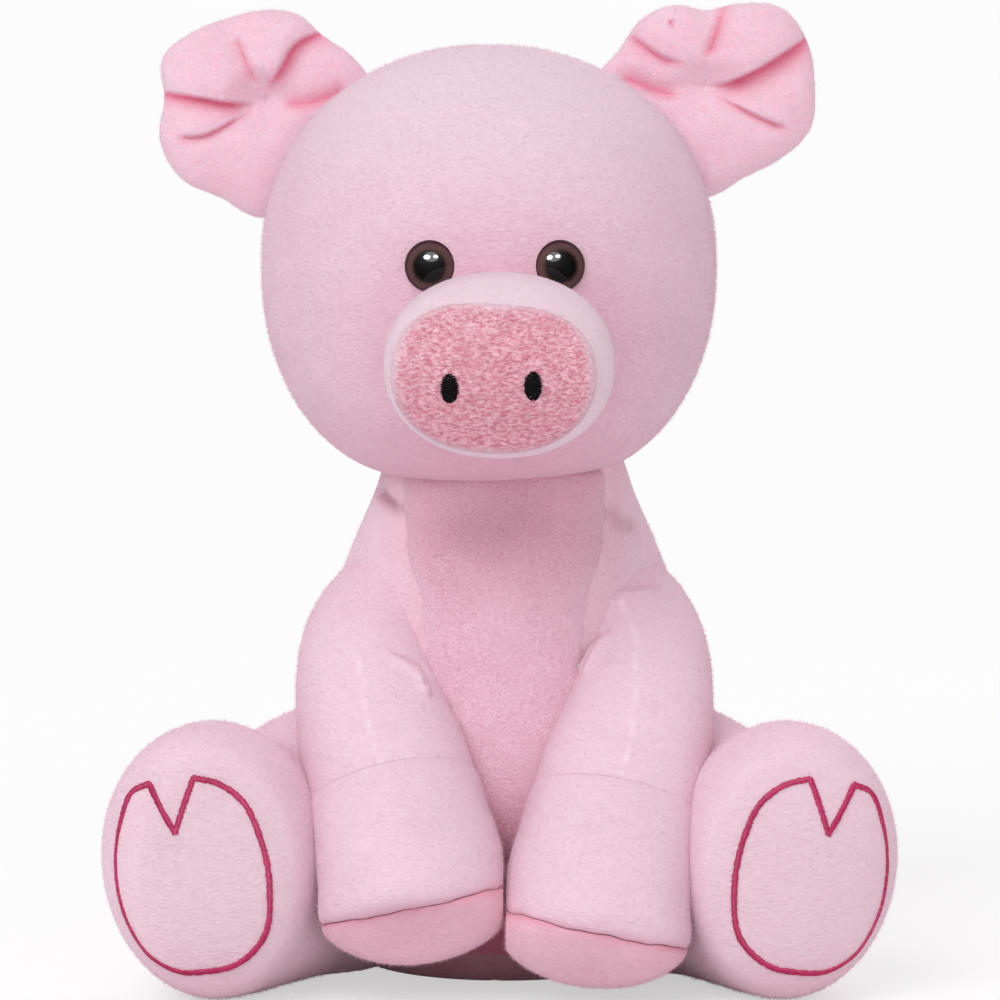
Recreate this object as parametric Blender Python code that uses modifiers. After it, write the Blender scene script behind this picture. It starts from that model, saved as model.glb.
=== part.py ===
"""Sitting plush pig, sewn and stuffed: a pear-shaped torso on a flat seat, a round head with a
padded snout, two folded ears, two arms that end in hooves, two hind legs and a curly tail.

The pig faces -Y and sits on Z = 0, with the middle of its seat at the origin. Left and right are
the pig's own, so its left side is at +X. Lengths are in metres.
"""

import math

import bmesh
import bpy
import numpy
from mathutils import Matrix, Vector

# Fits shared by all pieces
SEAM_GAP = 0.0003
CUT_OVERRUN = 0.02
CUTTER_REACH = 0.4
FLOOR_PRESS = 0.0005
MERGE_DISTANCE = 0.00001

# Torso: a pear that is widest at the hips
TORSO_HEIGHT = 0.162
HIP_HALF_WIDTH = 0.067
HIP_HALF_DEPTH = 0.060
NECK_LEAN = 0.005
# height, width and depth of each ring, and its lean, as shares of the four sizes above
TORSO_RING_SHARES = (
    (0.000, 0.58, 0.56, -0.6),
    (0.060, 0.87, 0.84, -0.4),
    (0.280, 1.00, 1.00, 0.0),
    (0.520, 0.91, 0.92, 0.1),
    (0.740, 0.76, 0.74, 0.5),
    (0.900, 0.605, 0.60, 0.9),
    (1.000, 0.50, 0.50, 1.0),
)

# Belly panel: a strip of short pile let into the front of the torso
PANEL_HALF_WIDTH = 0.034
PANEL_THICKNESS = 0.0025
PANEL_TOP_SHARE = 0.96
PANEL_BOTTOM_SHARE = 0.05
PANEL_WIDTH_SHARES = (0.55, 0.78, 0.90, 0.86, 0.72, 0.76, 0.92, 0.96)
PANEL_ROWS = 14

# Seat: a round cloth panel under a bag of pellets
SEAT_HALF_WIDTH = 0.042
SEAT_HALF_DEPTH = 0.038
SEAT_THICKNESS = 0.002
BAG_HALF_WIDTH = 0.033
BAG_HALF_DEPTH = 0.029
BAG_HEIGHT = 0.030
BAG_RING_SHARES = ((0, 0.55), (0.22, 0.93), (0.6, 0.98), (0.9, 0.68), (1, 0.35))

# Head: a ball, a little flat below, that is turned about its own upright axis
HEAD_RADIUS = 0.0698
HEAD_HEIGHT = 0.1328
HEAD_SINK = 0.011
HEAD_SHIFT = 0.0048
HEAD_FORWARD = 0.006
HEAD_WIDEST_SHARE = 0.475
# height and radius of each ring as shares
HEAD_RING_SHARES = (
    (0.000, 0.34),
    (0.055, 0.63),
    (0.165, 0.832),
    (0.310, 0.957),
    (0.475, 1.000),
    (0.650, 0.966),
    (0.815, 0.812),
    (0.940, 0.520),
    (1.000, 0.16),
)

# Muzzle and the padded disk on its front
MUZZLE_HALF_WIDTH = 0.0334
MUZZLE_HALF_HEIGHT = 0.0268
MUZZLE_REACH = 0.033
MUZZLE_SHIFT = 0.0016
MUZZLE_HEIGHT_SHARE = 0.298
# distance from the head's axis to the front, and size, as shares
MUZZLE_RING_SHARES = (
    (0.40, 0.86),
    (0.66, 0.98),
    (0.82, 1.00),
    (0.94, 0.93),
    (1.00, 0.70),
)
DISK_HALF_WIDTH = 0.0289
DISK_HALF_HEIGHT = 0.0212
DISK_THICKNESS = 0.009
DISK_PROUD = 0.0045
DISK_SHIFT = 0.0017
DISK_DROP = 0.002
DISK_TAPER_SHARE = -0.05
DISK_RING_SHARES = ((0.0, 0.62), (0.30, 0.97), (0.70, 0.97), (1.0, 0.62))
NOSTRIL_HALF_WIDTH = 0.0029
NOSTRIL_HALF_HEIGHT = 0.0042
NOSTRIL_HALF_DEPTH = 0.0026
NOSTRIL_SPREAD = 0.0121
NOSTRIL_DROP = 0.0021

# Eyes: domes on ridged stems, held behind the cloth by lock washers
EYE_RADIUS = 0.0074
EYE_DOME = 0.0046
EYE_DOME_STEPS = 5
EYE_SPREAD = 0.0192
EYE_SHIFT = 0.0028
EYE_HEIGHT_SHARE = 0.520
EYE_SEAT_DEPTH = 0.0012
STEM_RADIUS = 0.0023
STEM_TIP_RADIUS = 0.0012
STEM_LENGTH = 0.0125
STEM_RIDGE = 0.0005
STEM_RIDGES = 3
STEM_RIDGE_FLANK_SHARE = 0.15
WASHER_RADIUS = 0.0064
WASHER_THICKNESS = 0.0016
WASHER_BEVEL = 0.0004
WASHER_DEPTH = 0.0032

# Ears: two layers of cloth, tacked together at the middle so that they fold
EAR_REACH = 0.0884
EAR_HALF_THICKNESS = 0.0085
EAR_RADIUS = 0.036
EAR_GAP = 0.0007
EAR_BACK = 0.009
EAR_SEAM_TOP = math.radians(60)
EAR_SEAM_BOTTOM = math.radians(14)
EAR_SWING = math.radians(15)
EAR_ANGLES = {"left": math.radians(40.8), "right": math.radians(37.5)}
# outline and puff of each ear, from straight outward, then up, inward and down
EAR_OUTLINE_SHARES = {
    "left": (
        0.95, 0.96, 0.96, 0.79, 0.69, 0.77, 0.83, 0.84,
        0.88, 0.80, 0.80, 0.86, 0.97, 0.90, 0.94, 0.99,
    ),
    "right": (
        0.85, 0.93, 0.83, 0.76, 0.77, 0.82, 0.83, 0.90,
        0.94, 0.80, 0.78, 0.89, 1.04, 0.94, 0.97, 0.96,
    ),
}
EAR_PUFF_SHARES = {
    "left": (
        0.25, 0.60, 1.00, 0.85, 0.35, 0.80, 0.90, 0.60,
        0.40, 0.40, 0.50, 0.90, 1.00, 0.80, 0.30, 0.75,
    ),
    "right": (
        0.30, 0.95, 1.00, 0.65, 0.40, 0.90, 0.85, 0.60,
        0.40, 0.40, 0.50, 0.90, 1.00, 0.75, 0.35, 0.85,
    ),
}
# size, depth and share of the puff for each ring, from the back to the tack in front
EAR_RING_SHARES = (
    (0.25, 1.00, 0.0),
    (0.72, 0.85, 0.0),
    (1.00, 0.00, 0.0),
    (0.70, 0.10, -1.1),
    (0.22, 0.05, 0.0),
)

# Arms: a sleeve from the shoulder, a pale hoof and a smooth sole
ARM_LENGTH = 0.104
ARM_HALF_WIDTH = 0.0265
ARM_HALF_THICKNESS = 0.0215
SHOULDER_SHARE = 0.70
SHOULDER_OUT_SHARE = 0.52
SHOULDER_FRONT_SHARE = 0.22
SHOULDER_AXIS_RISE = 0.0108
# along the arm: outward, forward, up, then half width and half thickness
ARM_RING_SHARES = (
    (0.00, 0.00, 0.00, 0.52, 0.60),
    (0.068, 0.18, -0.11, 0.71, 0.80),
    (0.052, 0.34, -0.28, 0.86, 0.90),
    (0.000, 0.46, -0.44, 0.94, 0.95),
    (-0.035, 0.55, -0.585, 0.95, 1.05),
    (-0.070, 0.625, -0.73, 1.00, 1.08),
    (-0.080, 0.69, -0.86, 0.92, 0.94),
    (-0.085, 0.735, -0.935, 0.50, 0.45),
)
WRIST_SHARE = 0.485
SOLE_SHARE = 0.855
ARM_DROPS = {"left": 0.0065, "right": -0.002}
HAND_GAP = 0.0006

# Hind legs: one stuffed form each, lying forward with the foot upright
FOOT_HALF_WIDTH = 0.0335
FOOT_HALF_HEIGHT = 0.0415
FOOT_OUTS = {"left": 0.0905, "right": 0.0940}
FOOT_FRONT = 0.088
HIP_OUT_SHARE = 0.66
HIP_FRONT_SHARE = 0.10
HIP_AXIS_BACK = 0.010
# along the leg from hip to sole: outward, forward, half width, half height
LEG_RING_SHARES = (
    (0.00, 0.00, 0.72, 0.82),
    (0.34, 0.28, 0.85, 0.83),
    (0.60, 0.49, 0.96, 0.95),
    (0.80, 0.67, 1.00, 1.00),
    (0.96, 0.92, 0.88, 0.88),
    (1.00, 1.00, 0.52, 0.54),
)
FOOT_LEAN = math.radians(10)

# Embroidered hoof print on each hind foot
PRINT_HALF_WIDTH = 0.0230
PRINT_HALF_HEIGHT = 0.0291
PRINT_CORD_RADIUS = 0.0012
PRINT_POINTS = 36
PRINT_OUTS = {"left": 0.0024, "right": 0.0004}
PRINT_DROP = 0.0010
# half of the print, from the notch over the toe to the heel, as shares of the half sizes
PRINT_SHARES = (
    (0.00, 0.42),
    (0.17, 0.72),
    (0.33, 0.96),
    (0.54, 0.93),
    (0.80, 0.60),
    (0.97, 0.15),
    (0.96, -0.35),
    (0.72, -0.78),
    (0.35, -0.97),
)

# Tail: a cord of cloth curled once round
TAIL_RADIUS = 0.0036
TAIL_CURL_RADIUS = 0.0095
TAIL_PITCH = 0.013
TAIL_TURNS = 1.3
TAIL_POINTS_PER_TURN = 24
TAIL_START = 0.006
TAIL_THIN_SHARE = 0.35
TAIL_THIN_POINTS = 4
TAIL_HEIGHT_SHARE = 0.34
TAIL_GAP = 0.0005

FORM_COLUMNS = 16
LIMB_COLUMNS = 12
BAG_COLUMNS = 8
BEAD_COLUMNS = 12
TURN_STEPS = 16
SKIN_LEVELS = 1
SHARP_ANGLE = math.radians(40)

# Colours as red, green and blue of 255
HEAD_PINK = (236, 202, 216)
BODY_PINK = (243, 205, 219)
BELLY_PINK = (222, 160, 182)
EAR_PINK = (241, 194, 212)
MUZZLE_PINK = (240, 216, 226)
SNOUT_PINK = (232, 155, 176)
SOLE_PINK = (222, 170, 188)
PRINT_PINK = (190, 42, 100)
EYE_BROWN = (58, 36, 36)
STITCH_BLACK = (24, 17, 20)
WASHER_WHITE = (225, 225, 222)
LINING_GREY = (205, 200, 195)
CLOTH_ROUGHNESS = 0.95
THREAD_ROUGHNESS = 0.6
WASHER_ROUGHNESS = 0.5
EYE_ROUGHNESS = 0.08

SIDES = {"left": 1, "right": -1}


# Scene

def clear_scene():
    for obj in list(bpy.data.objects):
        bpy.data.objects.remove(obj)


def new_collection(name):
    collection = bpy.data.collections.new(name)
    bpy.context.scene.collection.children.link(collection)
    return collection


def linear(channel):
    """One of 255 steps of a display colour as linear light."""
    value = channel / 255
    return value / 12.92 if value <= 0.04045 else ((value + 0.055) / 1.055) ** 2.4


def new_material(name, colour, roughness):
    material = bpy.data.materials.new(name)
    material.use_nodes = True
    shader = material.node_tree.nodes["Principled BSDF"]
    shader.inputs["Base Color"].default_value = (*map(linear, colour), 1)
    shader.inputs["Roughness"].default_value = roughness
    shader.inputs["Metallic"].default_value = 0
    return material


clear_scene()
PIECES = new_collection("plush_pig")
CUTTERS = new_collection("cutters")


# Building blocks

def new_object(name, mesh, colour, roughness=CLOTH_ROUGHNESS):
    obj = bpy.data.objects.new(name, mesh)
    mesh.materials.clear()
    mesh.materials.append(new_material(name, colour, roughness))
    PIECES.objects.link(obj)
    return obj


def as_cutter(obj):
    """Puts an object among the cutters, where it is not part of the pig."""
    for collection in obj.users_collection:
        collection.objects.unlink(obj)
    CUTTERS.objects.link(obj)
    obj.hide_render = True
    obj.display_type = "WIRE"
    return obj


def mesh_from(bm, name):
    bmesh.ops.recalc_face_normals(bm, faces=bm.faces)
    mesh = bpy.data.meshes.new(name)
    bm.to_mesh(mesh)
    bm.free()
    mesh.shade_smooth()
    return mesh


def loft(name, rows):
    """A closed mesh through rows of points, with a cap on the first and last row."""
    bm = bmesh.new()
    rings = [[bm.verts.new(point) for point in row] for row in rows]
    for low, high in zip(rings, rings[1:]):
        for column in range(len(low)):
            bm.faces.new((low[column - 1], low[column], high[column], high[column - 1]))
    bm.faces.new(rings[0])
    bm.faces.new(rings[-1])
    return mesh_from(bm, name)


def cage_for(skin):
    """The cage whose subdivided skin passes through the given rows of points."""
    rows, columns, _ = skin.shape
    along = numpy.eye(rows)
    for row in range(1, rows - 1):
        along[row, row - 1:row + 2] = (1 / 6, 4 / 6, 1 / 6)
    corner = numpy.eye(columns)
    around = (numpy.roll(corner, 1, 0) + 4 * corner + numpy.roll(corner, -1, 0)) / 6
    cage = numpy.linalg.solve(along, skin.reshape(rows, -1)).reshape(skin.shape)
    turned = cage.transpose(1, 0, 2)
    cage = numpy.linalg.solve(around, turned.reshape(columns, -1)).reshape(turned.shape)
    return cage.transpose(1, 0, 2)


def soft_form(name, skin, colour):
    """A stuffed form whose skin passes through rows of points."""
    obj = new_object(name, loft(name, cage_for(numpy.array(skin))), colour)
    smooth = obj.modifiers.new("skin", "SUBSURF")
    smooth.levels = SKIN_LEVELS
    smooth.render_levels = SKIN_LEVELS
    return obj


def ring(centre, across, up, columns, taper=0.0):
    """Points round an oval. With a taper, its upper side is narrower than its lower side."""
    points = []
    for column in range(columns):
        angle = math.tau * (column + 0.5) / columns
        width = math.cos(angle) * (1 - taper * math.sin(angle))
        points.append(centre + across * width + up * math.sin(angle))
    return points


def grown(form, by, name):
    """A cutter in the shape of a form, with its skin moved out by a clearance."""
    cutter = as_cutter(form.copy())
    cutter.name = name
    swell = cutter.modifiers.new("clearance", "DISPLACE")
    swell.strength = by
    swell.mid_level = 0
    return cutter


def boolean(obj, cutter, operation="DIFFERENCE", crosses_itself=False):
    cut = obj.modifiers.new(cutter.name, "BOOLEAN")
    cut.operation = operation
    cut.solver = "EXACT"
    cut.use_self = crosses_itself
    cut.object = cutter


def settle(form, height):
    """Lowers or lifts a form so that the lowest point of its skin is at a height."""
    seen = form.evaluated_get(bpy.context.evaluated_depsgraph_get())
    lowest = min(vertex.co.z for vertex in seen.data.vertices)
    form.data.transform(Matrix.Translation((0, 0, height - lowest)))


def pose(place, axis):
    """The matrix that moves an object to a place and turns its Z along an axis."""
    return Matrix.Translation(place) @ Vector(axis).to_track_quat("Z", "Y").to_matrix().to_4x4()


def plane_block(name, place, normal):
    """A box cutter that fills the side of a plane that its normal points to."""
    bm = bmesh.new()
    matrix = Matrix.Translation((0, 0, CUTTER_REACH / 2))
    bmesh.ops.create_cube(bm, size=CUTTER_REACH, matrix=matrix)
    cutter = as_cutter(new_object(name, mesh_from(bm, name), LINING_GREY))
    cutter.matrix_world = pose(place, normal)
    return cutter


def oval_plate(name, half_width, half_depth, bottom, top, colour):
    bm = bmesh.new()
    size = Matrix.Diagonal((half_width, half_depth, top - bottom)).to_4x4()
    place = Matrix.Translation((0, 0, (bottom + top) / 2))
    bmesh.ops.create_cone(
        bm, cap_ends=True, segments=2 * FORM_COLUMNS, radius1=1, radius2=1, depth=1,
        matrix=place @ size,
    )
    obj = new_object(name, mesh_from(bm, name), colour)
    obj.data.set_sharp_from_angle(angle=SHARP_ANGLE)
    return obj


def turned(name, profile, colour, roughness, place, axis, closed=False):
    """A solid turned about its axis from a profile that runs down its outer side."""
    mesh = bpy.data.meshes.new(name)
    edges = [(point, point + 1) for point in range(len(profile) - 1)]
    if closed:
        edges.append((len(profile) - 1, 0))
    mesh.from_pydata([(radius, 0, height) for radius, height in profile], edges, [])
    obj = new_object(name, mesh, colour, roughness)
    screw = obj.modifiers.new("turning", "SCREW")
    screw.steps = TURN_STEPS
    screw.render_steps = TURN_STEPS
    screw.use_merge_vertices = True
    screw.merge_threshold = MERGE_DISTANCE
    screw.use_smooth_shade = True
    obj.matrix_world = pose(place, axis)
    return obj


def joint_empty(name, place, axis):
    empty = bpy.data.objects.new(name, None)
    empty.empty_display_type = "SINGLE_ARROW"
    empty.empty_display_size = HIP_HALF_WIDTH
    empty.matrix_world = pose(place, axis)
    PIECES.objects.link(empty)
    return empty


def swung(cutter, empty, angle):
    """A copy of a cutter, turned about the axis of an empty."""
    copy = as_cutter(cutter.copy())
    turn = Matrix.Rotation(angle, 4, empty.matrix_world.to_3x3().col[2])
    about = Matrix.Translation(empty.matrix_world.translation)
    copy.matrix_world = about @ turn @ about.inverted()
    return copy


def carry(empty, *objects):
    """Parents objects to an empty without moving them."""
    for obj in objects:
        world = obj.matrix_world.copy()
        obj.parent = empty
        obj.matrix_parent_inverse = empty.matrix_world.inverted()
        obj.matrix_world = world


def skin_point(form, start, direction):
    """Where a ray first meets the skin of a form."""
    seen = form.evaluated_get(bpy.context.evaluated_depsgraph_get())
    found, place, _, _ = seen.ray_cast(start, direction)
    if not found:
        raise ValueError("the ray misses " + form.name)
    return place


# Torso

def make_torso():
    skin = []
    for height, width, depth, lean in TORSO_RING_SHARES:
        centre = Vector((0, -lean * NECK_LEAN, height * TORSO_HEIGHT - FLOOR_PRESS))
        across = Vector((width * HIP_HALF_WIDTH, 0, 0))
        up = Vector((0, depth * HIP_HALF_DEPTH, 0))
        skin.append(ring(centre, across, up, FORM_COLUMNS))
    return soft_form("torso", skin, BODY_PINK)


def panel_block(name, margin, back):
    """An upright block with the outline of the belly panel, grown by a margin."""
    top = PANEL_TOP_SHARE * TORSO_HEIGHT + margin
    bottom = PANEL_BOTTOM_SHARE * TORSO_HEIGHT - margin
    knots = numpy.linspace(0, 1, len(PANEL_WIDTH_SHARES))
    front = -HIP_HALF_DEPTH - CUT_OVERRUN
    rows = []
    for row in range(PANEL_ROWS + 1):
        share = row / PANEL_ROWS
        place = share * (len(knots) - 1)
        left = min(int(place), len(knots) - 2)
        blend = (1 - math.cos(math.pi * (place - left))) / 2
        wide = PANEL_WIDTH_SHARES[left] * (1 - blend) + PANEL_WIDTH_SHARES[left + 1] * blend
        half = wide * PANEL_HALF_WIDTH + margin
        height = bottom + share * (top - bottom)
        rows.append([(x, y, height) for x, y in ((-half, front), (half, front), (half, back), (-half, back))])
    mesh = loft(name, rows)
    mesh.shade_flat()
    return as_cutter(new_object(name, mesh, BELLY_PINK))


def make_belly_panel(torso):
    """The panel and the recess that it fills both stop at a smaller copy of the torso."""
    panel = new_object("belly_panel", torso.data.copy(), BELLY_PINK)
    smooth = panel.modifiers.new("skin", "SUBSURF")
    smooth.levels = SKIN_LEVELS
    smooth.render_levels = SKIN_LEVELS
    boolean(panel, panel_block("panel_outline", 0, 0), "INTERSECT")
    boolean(panel, grown(torso, -PANEL_THICKNESS, "panel_backing"))
    recess = panel_block("panel_recess", SEAM_GAP, 0)
    boolean(recess, grown(torso, -PANEL_THICKNESS - SEAM_GAP, "panel_bed"))
    return panel, recess


def make_seat():
    recess = oval_plate(
        "seat_recess", SEAT_HALF_WIDTH + SEAM_GAP, SEAT_HALF_DEPTH + SEAM_GAP,
        -CUT_OVERRUN, SEAT_THICKNESS + SEAM_GAP, LINING_GREY,
    )
    panel = oval_plate("seat_panel", SEAT_HALF_WIDTH, SEAT_HALF_DEPTH, 0, SEAT_THICKNESS, SOLE_PINK)
    return panel, as_cutter(recess)


def make_pellet_bag():
    skin = []
    for height, size in BAG_RING_SHARES:
        centre = Vector((0, 0, height * BAG_HEIGHT))
        across = Vector((size * BAG_HALF_WIDTH, 0, 0))
        skin.append(ring(centre, across, Vector((0, size * BAG_HALF_DEPTH, 0)), BAG_COLUMNS))
    return soft_form("pellet_bag", skin, LINING_GREY)


# Head

HEAD_BOTTOM = TORSO_HEIGHT - HEAD_SINK
HEAD_AXIS = Vector((-HEAD_SHIFT, -HEAD_FORWARD, 0))
HEAD_MIDDLE = HEAD_AXIS + Vector((0, 0, HEAD_BOTTOM + HEAD_WIDEST_SHARE * HEAD_HEIGHT))
FRONT = Vector((0, -1, 0))
UP = Vector((0, 0, 1))
ACROSS = Vector((1, 0, 0))


def make_head():
    skin = []
    for height, size in HEAD_RING_SHARES:
        centre = HEAD_AXIS + UP * (HEAD_BOTTOM + height * HEAD_HEIGHT)
        radius = size * HEAD_RADIUS
        skin.append(ring(centre, ACROSS * radius, Vector((0, radius, 0)), FORM_COLUMNS))
    return soft_form("head", skin, HEAD_PINK)


MUZZLE_MIDDLE = Vector((-MUZZLE_SHIFT, HEAD_AXIS.y, HEAD_BOTTOM + MUZZLE_HEIGHT_SHARE * HEAD_HEIGHT))
MUZZLE_FRONT = HEAD_RADIUS + MUZZLE_REACH


def make_muzzle():
    skin = []
    for reach, size in MUZZLE_RING_SHARES:
        centre = MUZZLE_MIDDLE + FRONT * reach * MUZZLE_FRONT
        across = ACROSS * size * MUZZLE_HALF_WIDTH
        skin.append(ring(centre, across, UP * size * MUZZLE_HALF_HEIGHT, FORM_COLUMNS))
    return soft_form("muzzle", skin, MUZZLE_PINK)


DISK_MIDDLE = MUZZLE_MIDDLE - ACROSS * DISK_SHIFT - UP * DISK_DROP + FRONT * (MUZZLE_FRONT + DISK_PROUD)


def make_snout_disk():
    skin = []
    for depth, size in DISK_RING_SHARES:
        centre = DISK_MIDDLE - FRONT * (1 - depth) * DISK_THICKNESS
        across = ACROSS * size * DISK_HALF_WIDTH
        up = UP * size * DISK_HALF_HEIGHT
        skin.append(ring(centre, across, up, FORM_COLUMNS, DISK_TAPER_SHARE))
    return soft_form("snout_disk", skin, SNOUT_PINK)


def make_nostril(side, sign, disk):
    start = DISK_MIDDLE + ACROSS * sign * NOSTRIL_SPREAD - UP * NOSTRIL_DROP + FRONT * CUT_OVERRUN
    place = skin_point(disk, start, -FRONT)
    bm = bmesh.new()
    size = Matrix.Diagonal((NOSTRIL_HALF_WIDTH, NOSTRIL_HALF_DEPTH, NOSTRIL_HALF_HEIGHT)).to_4x4()
    bmesh.ops.create_uvsphere(
        bm, u_segments=BEAD_COLUMNS, v_segments=BEAD_COLUMNS // 2, radius=1,
        matrix=Matrix.Translation(place) @ size,
    )
    return new_object("nostril_" + side, mesh_from(bm, "nostril_" + side), STITCH_BLACK, THREAD_ROUGHNESS)


def eye_axis(sign):
    """Where an eye's back lies in the head, and the way that it looks."""
    out = sign * EYE_SPREAD - EYE_SHIFT + HEAD_SHIFT
    look = Vector((out, -math.sqrt(HEAD_RADIUS ** 2 - out ** 2), 0)).normalized()
    height = HEAD_BOTTOM + EYE_HEIGHT_SHARE * HEAD_HEIGHT
    place = HEAD_AXIS + look * (HEAD_RADIUS - EYE_SEAT_DEPTH) + UP * height
    return place, look


def make_eye(side, sign):
    place, look = eye_axis(sign)
    dome = []
    for step in range(EYE_DOME_STEPS + 1):
        angle = math.pi / 2 * step / EYE_DOME_STEPS
        dome.append((EYE_RADIUS * math.sin(angle), EYE_DOME * math.cos(angle)))
    dome[0] = (0, EYE_DOME)
    stem = [(STEM_RADIUS, 0)]
    pitch = (STEM_LENGTH - STEM_RADIUS) / (STEM_RIDGES + 1)
    for ridge in range(1, STEM_RIDGES + 1):
        stem.append((STEM_RADIUS, -pitch * ridge))
        stem.append((STEM_RADIUS - STEM_RIDGE, -pitch * (ridge + STEM_RIDGE_FLANK_SHARE)))
    stem.append((STEM_RADIUS, -STEM_LENGTH + STEM_RADIUS))
    stem.append((STEM_TIP_RADIUS, -STEM_LENGTH))
    stem.append((0, -STEM_LENGTH))
    return turned("eye_" + side, dome + stem, EYE_BROWN, EYE_ROUGHNESS, place, look)


def make_eye_washer(side, sign):
    place, look = eye_axis(sign)
    inner = STEM_RADIUS + SEAM_GAP
    top = -WASHER_DEPTH
    bottom = top - WASHER_THICKNESS
    rim = WASHER_RADIUS - WASHER_BEVEL
    profile = [
        (inner, top), (rim, top), (WASHER_RADIUS, top - WASHER_BEVEL),
        (WASHER_RADIUS, bottom + WASHER_BEVEL), (rim, bottom), (inner, bottom),
    ]
    return turned("eye_washer_" + side, profile, WASHER_WHITE, WASHER_ROUGHNESS, place, look, closed=True)


def make_eye_pocket(side, sign):
    """The room that an eye, its stem and its washer take in the head."""
    place, look = eye_axis(sign)
    bore = STEM_RADIUS + SEAM_GAP
    seat = EYE_RADIUS + SEAM_GAP
    pocket = WASHER_RADIUS + SEAM_GAP
    top = -WASHER_DEPTH + SEAM_GAP
    bottom = -WASHER_DEPTH - WASHER_THICKNESS - SEAM_GAP
    end = -STEM_LENGTH - SEAM_GAP
    profile = [
        (0, CUT_OVERRUN), (seat, CUT_OVERRUN), (seat, -SEAM_GAP), (bore, -SEAM_GAP), (bore, top),
        (pocket, top), (pocket, bottom), (bore, bottom), (bore, end), (0, end),
    ]
    return as_cutter(turned("eye_pocket_" + side, profile, LINING_GREY, CLOTH_ROUGHNESS, place, look))


# Ears

def ear_middle(side, sign):
    angle = EAR_ANGLES[side]
    out = Vector((sign * math.cos(angle), 0, math.sin(angle)))
    return HEAD_MIDDLE + out * EAR_REACH + Vector((0, EAR_BACK, 0))


def ear_seam(sign):
    """The two ends of the line along which an ear is sewn to the head."""
    ends = []
    for angle in (EAR_SEAM_BOTTOM, EAR_SEAM_TOP):
        out = Vector((sign * math.cos(angle), 0, math.sin(angle)))
        ends.append(HEAD_MIDDLE + out * HEAD_RADIUS + Vector((0, EAR_BACK, 0)))
    return ends


def make_ear(side, sign):
    middle = ear_middle(side, sign)
    outline = EAR_OUTLINE_SHARES[side]
    puff = EAR_PUFF_SHARES[side]
    skin = []
    for size, depth, lift in EAR_RING_SHARES:
        row = []
        for column, radius in enumerate(outline):
            angle = math.tau * column / len(outline)
            reach = size * radius * EAR_RADIUS
            back = (depth + lift * puff[column]) * EAR_HALF_THICKNESS
            row.append(middle + Vector((sign * reach * math.cos(angle), back, reach * math.sin(angle))))
        skin.append(row)
    return soft_form("ear_" + side, skin, EAR_PINK)


# Limbs

def path_rings(places, widths, heights, across):
    """Rings square to a path, with their width along a level direction."""
    skin = []
    for step, place in enumerate(places):
        before = places[max(step - 1, 0)]
        after = places[min(step + 1, len(places) - 1)]
        along = (after - before).normalized()
        side = (across - along * across.dot(along)).normalized()
        skin.append(ring(place, side * widths[step], along.cross(side) * heights[step], LIMB_COLUMNS))
    return skin


def shoulder(sign):
    return Vector((
        sign * SHOULDER_OUT_SHARE * HIP_HALF_WIDTH,
        -SHOULDER_FRONT_SHARE * HIP_HALF_DEPTH,
        SHOULDER_SHARE * TORSO_HEIGHT,
    ))


def arm_path(side, sign):
    root = shoulder(sign)
    last = len(ARM_RING_SHARES) - 1
    places = []
    for step, (out, forward, rise, _, _) in enumerate(ARM_RING_SHARES):
        drop = ARM_DROPS[side] * step / last
        places.append(root + Vector((sign * out, -forward, rise)) * ARM_LENGTH - UP * drop)
    return places


def arm_form(name, side, sign, colour):
    widths = [ring_shares[3] * ARM_HALF_WIDTH for ring_shares in ARM_RING_SHARES]
    heights = [ring_shares[4] * ARM_HALF_THICKNESS for ring_shares in ARM_RING_SHARES]
    return soft_form(name, path_rings(arm_path(side, sign), widths, heights, ACROSS), colour)


def path_cut(places, share):
    """A place on a path and the way that the path runs there."""
    place = share * (len(places) - 1)
    step = min(int(place), len(places) - 2)
    return places[step].lerp(places[step + 1], place - step), (places[step + 1] - places[step]).normalized()


def make_arm(side, sign, shared_cutters):
    """The sleeve, the hoof and the sole are one form, parted at the two seams."""
    places = arm_path(side, sign)
    wrist, down = path_cut(places, WRIST_SHARE)
    seam, out = path_cut(places, SOLE_SHARE)
    half_gap = SEAM_GAP / 2
    below_wrist = plane_block("below_wrist_" + side, wrist - down * half_gap, down)
    above_wrist = plane_block("above_wrist_" + side, wrist + down * half_gap, -down)
    below_sole = plane_block("below_sole_seam_" + side, seam - out * half_gap, out)
    above_sole = plane_block("above_sole_seam_" + side, seam + out * half_gap, -out)
    arm = arm_form("arm_" + side, side, sign, BODY_PINK)
    hoof = arm_form("front_hoof_" + side, side, sign, MUZZLE_PINK)
    sole = arm_form("front_sole_" + side, side, sign, SOLE_PINK)
    for piece in (arm, hoof, sole):
        for cutter in shared_cutters:
            boolean(piece, cutter)
    boolean(arm, below_wrist)
    boolean(hoof, above_wrist)
    boolean(hoof, below_sole)
    boolean(sole, above_sole)
    return arm, hoof, sole


def leg_path(side, sign):
    hip = Vector((sign * HIP_OUT_SHARE * HIP_HALF_WIDTH, -HIP_FRONT_SHARE * HIP_HALF_DEPTH, 0))
    foot = Vector((sign * FOOT_OUTS[side], -FOOT_FRONT, 0))
    places = []
    for out, forward, _, height in LEG_RING_SHARES:
        place = Vector((hip.x + out * (foot.x - hip.x), hip.y + forward * (foot.y - hip.y), 0))
        places.append(place + UP * (min(height, 1) * FOOT_HALF_HEIGHT))
    ground = FOOT_HALF_HEIGHT - FLOOR_PRESS
    for step in (-1, -2):
        places[step].z = ground
    return places


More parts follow.
